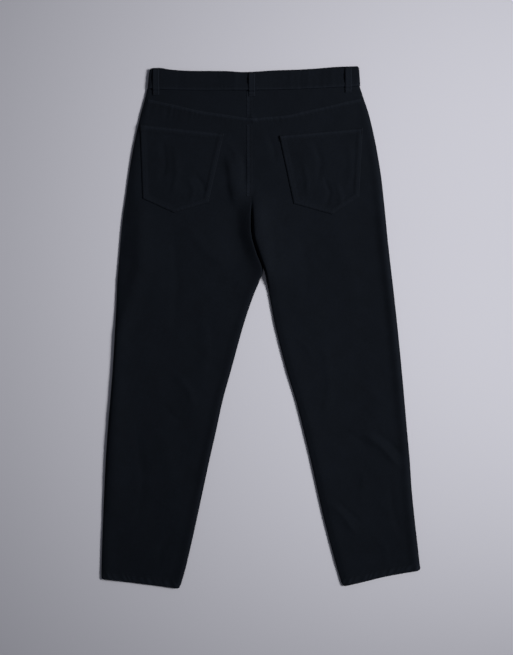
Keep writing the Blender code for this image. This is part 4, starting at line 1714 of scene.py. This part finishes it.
@dataclass
class Studio:
    """Camera, lamps and surroundings."""

    distance: float = 3.0
    seen_height: float = 1.310
    centre: tuple[float, float] = (-0.0088, 0.0004)
    sky: str = "#d4d8e4"
    sky_strength: float = 0.17
    lamps: tuple[Lamp, ...] = (
        Lamp("window", (2.8, 0.45, 2.1), (0.7, 0.22, 0.0), (1.9, 1.9), 15.6, "#fffefc", 32.0),
    )

    def build(self) -> None:
        """Make the camera and the lights."""
        scene = bpy.context.scene
        data = bpy.data.cameras.new("overhead")
        data.sensor_width = 36.0
        data.lens = data.sensor_width * self.distance / self.seen_height
        camera = bpy.data.objects.new("overhead", data)
        camera.location = (*self.centre, self.distance)
        scene.collection.objects.link(camera)
        scene.camera = camera
        world = bpy.data.worlds.new("studio")
        world.use_nodes = True
        background = world.node_tree.nodes["Background"]
        background.inputs["Color"].default_value = linear(self.sky)
        background.inputs["Strength"].default_value = self.sky_strength
        scene.world = world
        scene.view_settings.view_transform = "Standard"
        for lamp in self.lamps:
            lamp.build()


POCKETS = (
    PocketShape("back_pocket_left", (-241.5, 405.4), (-73.8, 387.4), (-104.8, 249.4),
                (-173.8, 229.4), (-236.0, 257.4)),
    PocketShape("back_pocket_right", (36.2, 383.4), (203.2, 398.2), (196.2, 261.4),
                (142.2, 226.0), (65.2, 247.4)),
)


def yoke_points(start: float, end: float, below: float = 4.5) -> tuple[Point, ...]:
    """Points along the middle of the yoke's fell, which lies below the seam, from one x to another."""
    x = np.linspace(start, end, 40)
    return tuple(zip(x.tolist(), (YOKE_LINE(x) - below).tolist()))


def hem_line(leg: Leg, lift: float, inset: float) -> np.ndarray:
    """A line across a leg just above its hem's edge.

    Args:
        leg: The leg.
        lift: How far above the edge it runs.
        inset: How far it stays in from the seams.

    Returns:
        Its points, one a row.
    """
    ends = sorted((float(leg.outer(-500.0)) + leg.inward * inset, float(leg.inner(-505.0))
                   - leg.inward * inset))
    x = np.linspace(ends[0], ends[1], 30)
    return np.column_stack([x, leg.hem(x) + lift])


class Jeans:
    """The whole garment, made piece by piece."""

    def __init__(self, wardrobe: Wardrobe) -> None:
        """Keep the finishes.

        Args:
            wardrobe: The finishes.
        """
        self.wardrobe = wardrobe
        self.band = Waistband()
        self.legs = (LEFT, RIGHT)
        self.pockets = [PatchPocket(shape, leg, Cut(167.0, 176.0, 0.86))
                        for shape, leg in zip(POCKETS, self.legs)]
        self.loops = [BeltLoop("belt_loop_left", -209.4, LEFT, self.band),
                      BeltLoop("belt_loop_back", -18.2, LEFT, self.band),
                      BeltLoop("belt_loop_right", 174.4, RIGHT, self.band)]

    def build(self) -> None:
        """Make every piece."""
        for leg in self.legs:
            LegPanels(leg, Cut(330.0, 990.0, 0.68), Cut(330.0, 1000.0, 0.70)).build(self.wardrobe)
            Yoke(leg, Cut(215.0, 64.0, 0.64)).build(self.wardrobe)
        self.band.build(self.wardrobe)
        for pocket in self.pockets:
            pocket.build(self.wardrobe)
        for loop in self.loops:
            loop.build(self.wardrobe)
        self.fells()
        self.threads()
        FlyShield().build(self.wardrobe)
        self.finish_button()

    def seat_height(self, x: np.ndarray, y: np.ndarray) -> np.ndarray:
        """Height of the seat, whichever leg's cloth lies there."""
        return np.where(np.asarray(x) < SIZES.centre_x, LEFT.top(x, y), RIGHT.top(x, y))

    def fells(self) -> None:
        """Make the felled seams of the yokes and the centre back, with their stitching."""
        centre = SIZES.centre_x
        column = centre - 5.2
        fells = (
            Fell("yoke_fell_left", yoke_points(centre - 0.4, -226.0), self.seat_height,
                 "back_panel_cloth_left"),
            Fell("yoke_fell_right", yoke_points(200.0, centre + 0.4), self.seat_height,
                 "back_panel_cloth_right"),
            Fell("centre_fell_seat", ((column, 405.0), (column, 262.0)), self.seat_height,
                 "back_panel_cloth_left", 11.5, 0.7, 0.7, 1.2),
            Fell("centre_fell_yoke", ((column, 473.0), (column, 420.0)), self.seat_height,
                 "yoke_cloth_left", 11.5, 0.6, 0.6, 1.2),
        )
        for fell in fells:
            fell.build(self.wardrobe)
            path = evenly(fell.path, np.linspace(3.0, path_length(fell.path) - 3.0, 60))
            rows = [StitchRow(offset_path(path, away), fell.top(away)) for away in (-3.4, 3.0)]
            Stitching(f"{fell.name}_stitching", rows).build(self.wardrobe)

    def threads(self) -> None:
        """Make the rest of the stitching."""
        self.band_threads()
        for pocket in self.pockets:
            self.pocket_threads(pocket)
        for loop in self.loops:
            self.loop_threads(loop)
        for leg in self.legs:
            surface: Surface = lambda x, y, leg=leg: leg.skin(x, y) + SIZES.hem_rise
            rows = [StitchRow(hem_line(leg, 13.4, 3.5), surface)]
            Stitching(f"hem_stitching_{leg.name}", rows).build(self.wardrobe)

    def band_threads(self) -> None:
        """Stitch along both edges of the waistband's back."""
        x = np.linspace(-221.0, 193.0, 160)
        rows = []
        for lift, line in ((3.0, BAND_SEAM), (-3.0, BAND_TOP)):
            path = np.column_stack([x, line(x) + lift])
            rows.append(StitchRow(path, lambda x, y: self.band.surface(x, y) - 0.15))
        Stitching("waistband_stitching", rows).build(self.wardrobe)

    def pocket_threads(self, pocket: PatchPocket) -> None:
        """Stitch a pocket down and across its mouth.

        Args:
            pocket: The pocket.
        """
        corners = pocket.shape.outline()
        sides = corners[1:] + corners[:1]
        rows = [StitchRow(offset_path(sides, -away), pocket.height) for away in (2.0, 8.0)]
        mouth = np.array([corners[0], corners[1]], float)
        run = (mouth[1] - mouth[0]) / np.linalg.norm(mouth[1] - mouth[0])
        down = np.array([run[1], -run[0]])
        for depth in (2.2, 11.0):
            ends = np.array([mouth[0] + run * 1.5, mouth[1] - run * 1.5]) + down * depth
            rows.append(StitchRow(ends, pocket.height))
        for corner, way in ((mouth[0], run), (mouth[1], -run)):
            start = corner + way * 2.0 + down * 1.2
            rows.append(bar_tack(tuple(start), tuple(start + down * 9.0), pocket.height))
        Stitching(f"pocket_stitching_{pocket.leg.name}", rows).build(self.wardrobe)

    def loop_threads(self, loop: BeltLoop) -> None:
        """Stitch a belt loop's edges and tack its ends.

        Args:
            loop: The loop.
        """
        bottom, _, top = loop.path_y()
        rows = [StitchRow(np.array([(loop.x + away, bottom + 1.0), (loop.x + away, top - 1.0)]), loop.top)
                for away in (-3.9, 3.9)]
        for y in (bottom + 2.6, top - 3.0):
            rows.append(bar_tack((loop.x - 5.4, y), (loop.x + 5.4, y), loop.top))
        Stitching(f"{loop.name}_stitching", rows).build(self.wardrobe)

    def finish_button(self) -> None:
        """Give the button, which the solids make, its metal."""
        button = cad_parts["waist_button"]
        button.data.materials.clear()
        button.data.materials.append(self.wardrobe.metal)


def main() -> None:
    """Dress the frame and light it."""
    logging.basicConfig(level=logging.INFO, format="%(name)s %(message)s")
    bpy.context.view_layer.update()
    wardrobe = Wardrobe()
    Studio().build()
    Floor().build(wardrobe)
    Jeans(wardrobe).build()
    bpy.context.view_layer.update()


if __name__ == "__main__":
    main()
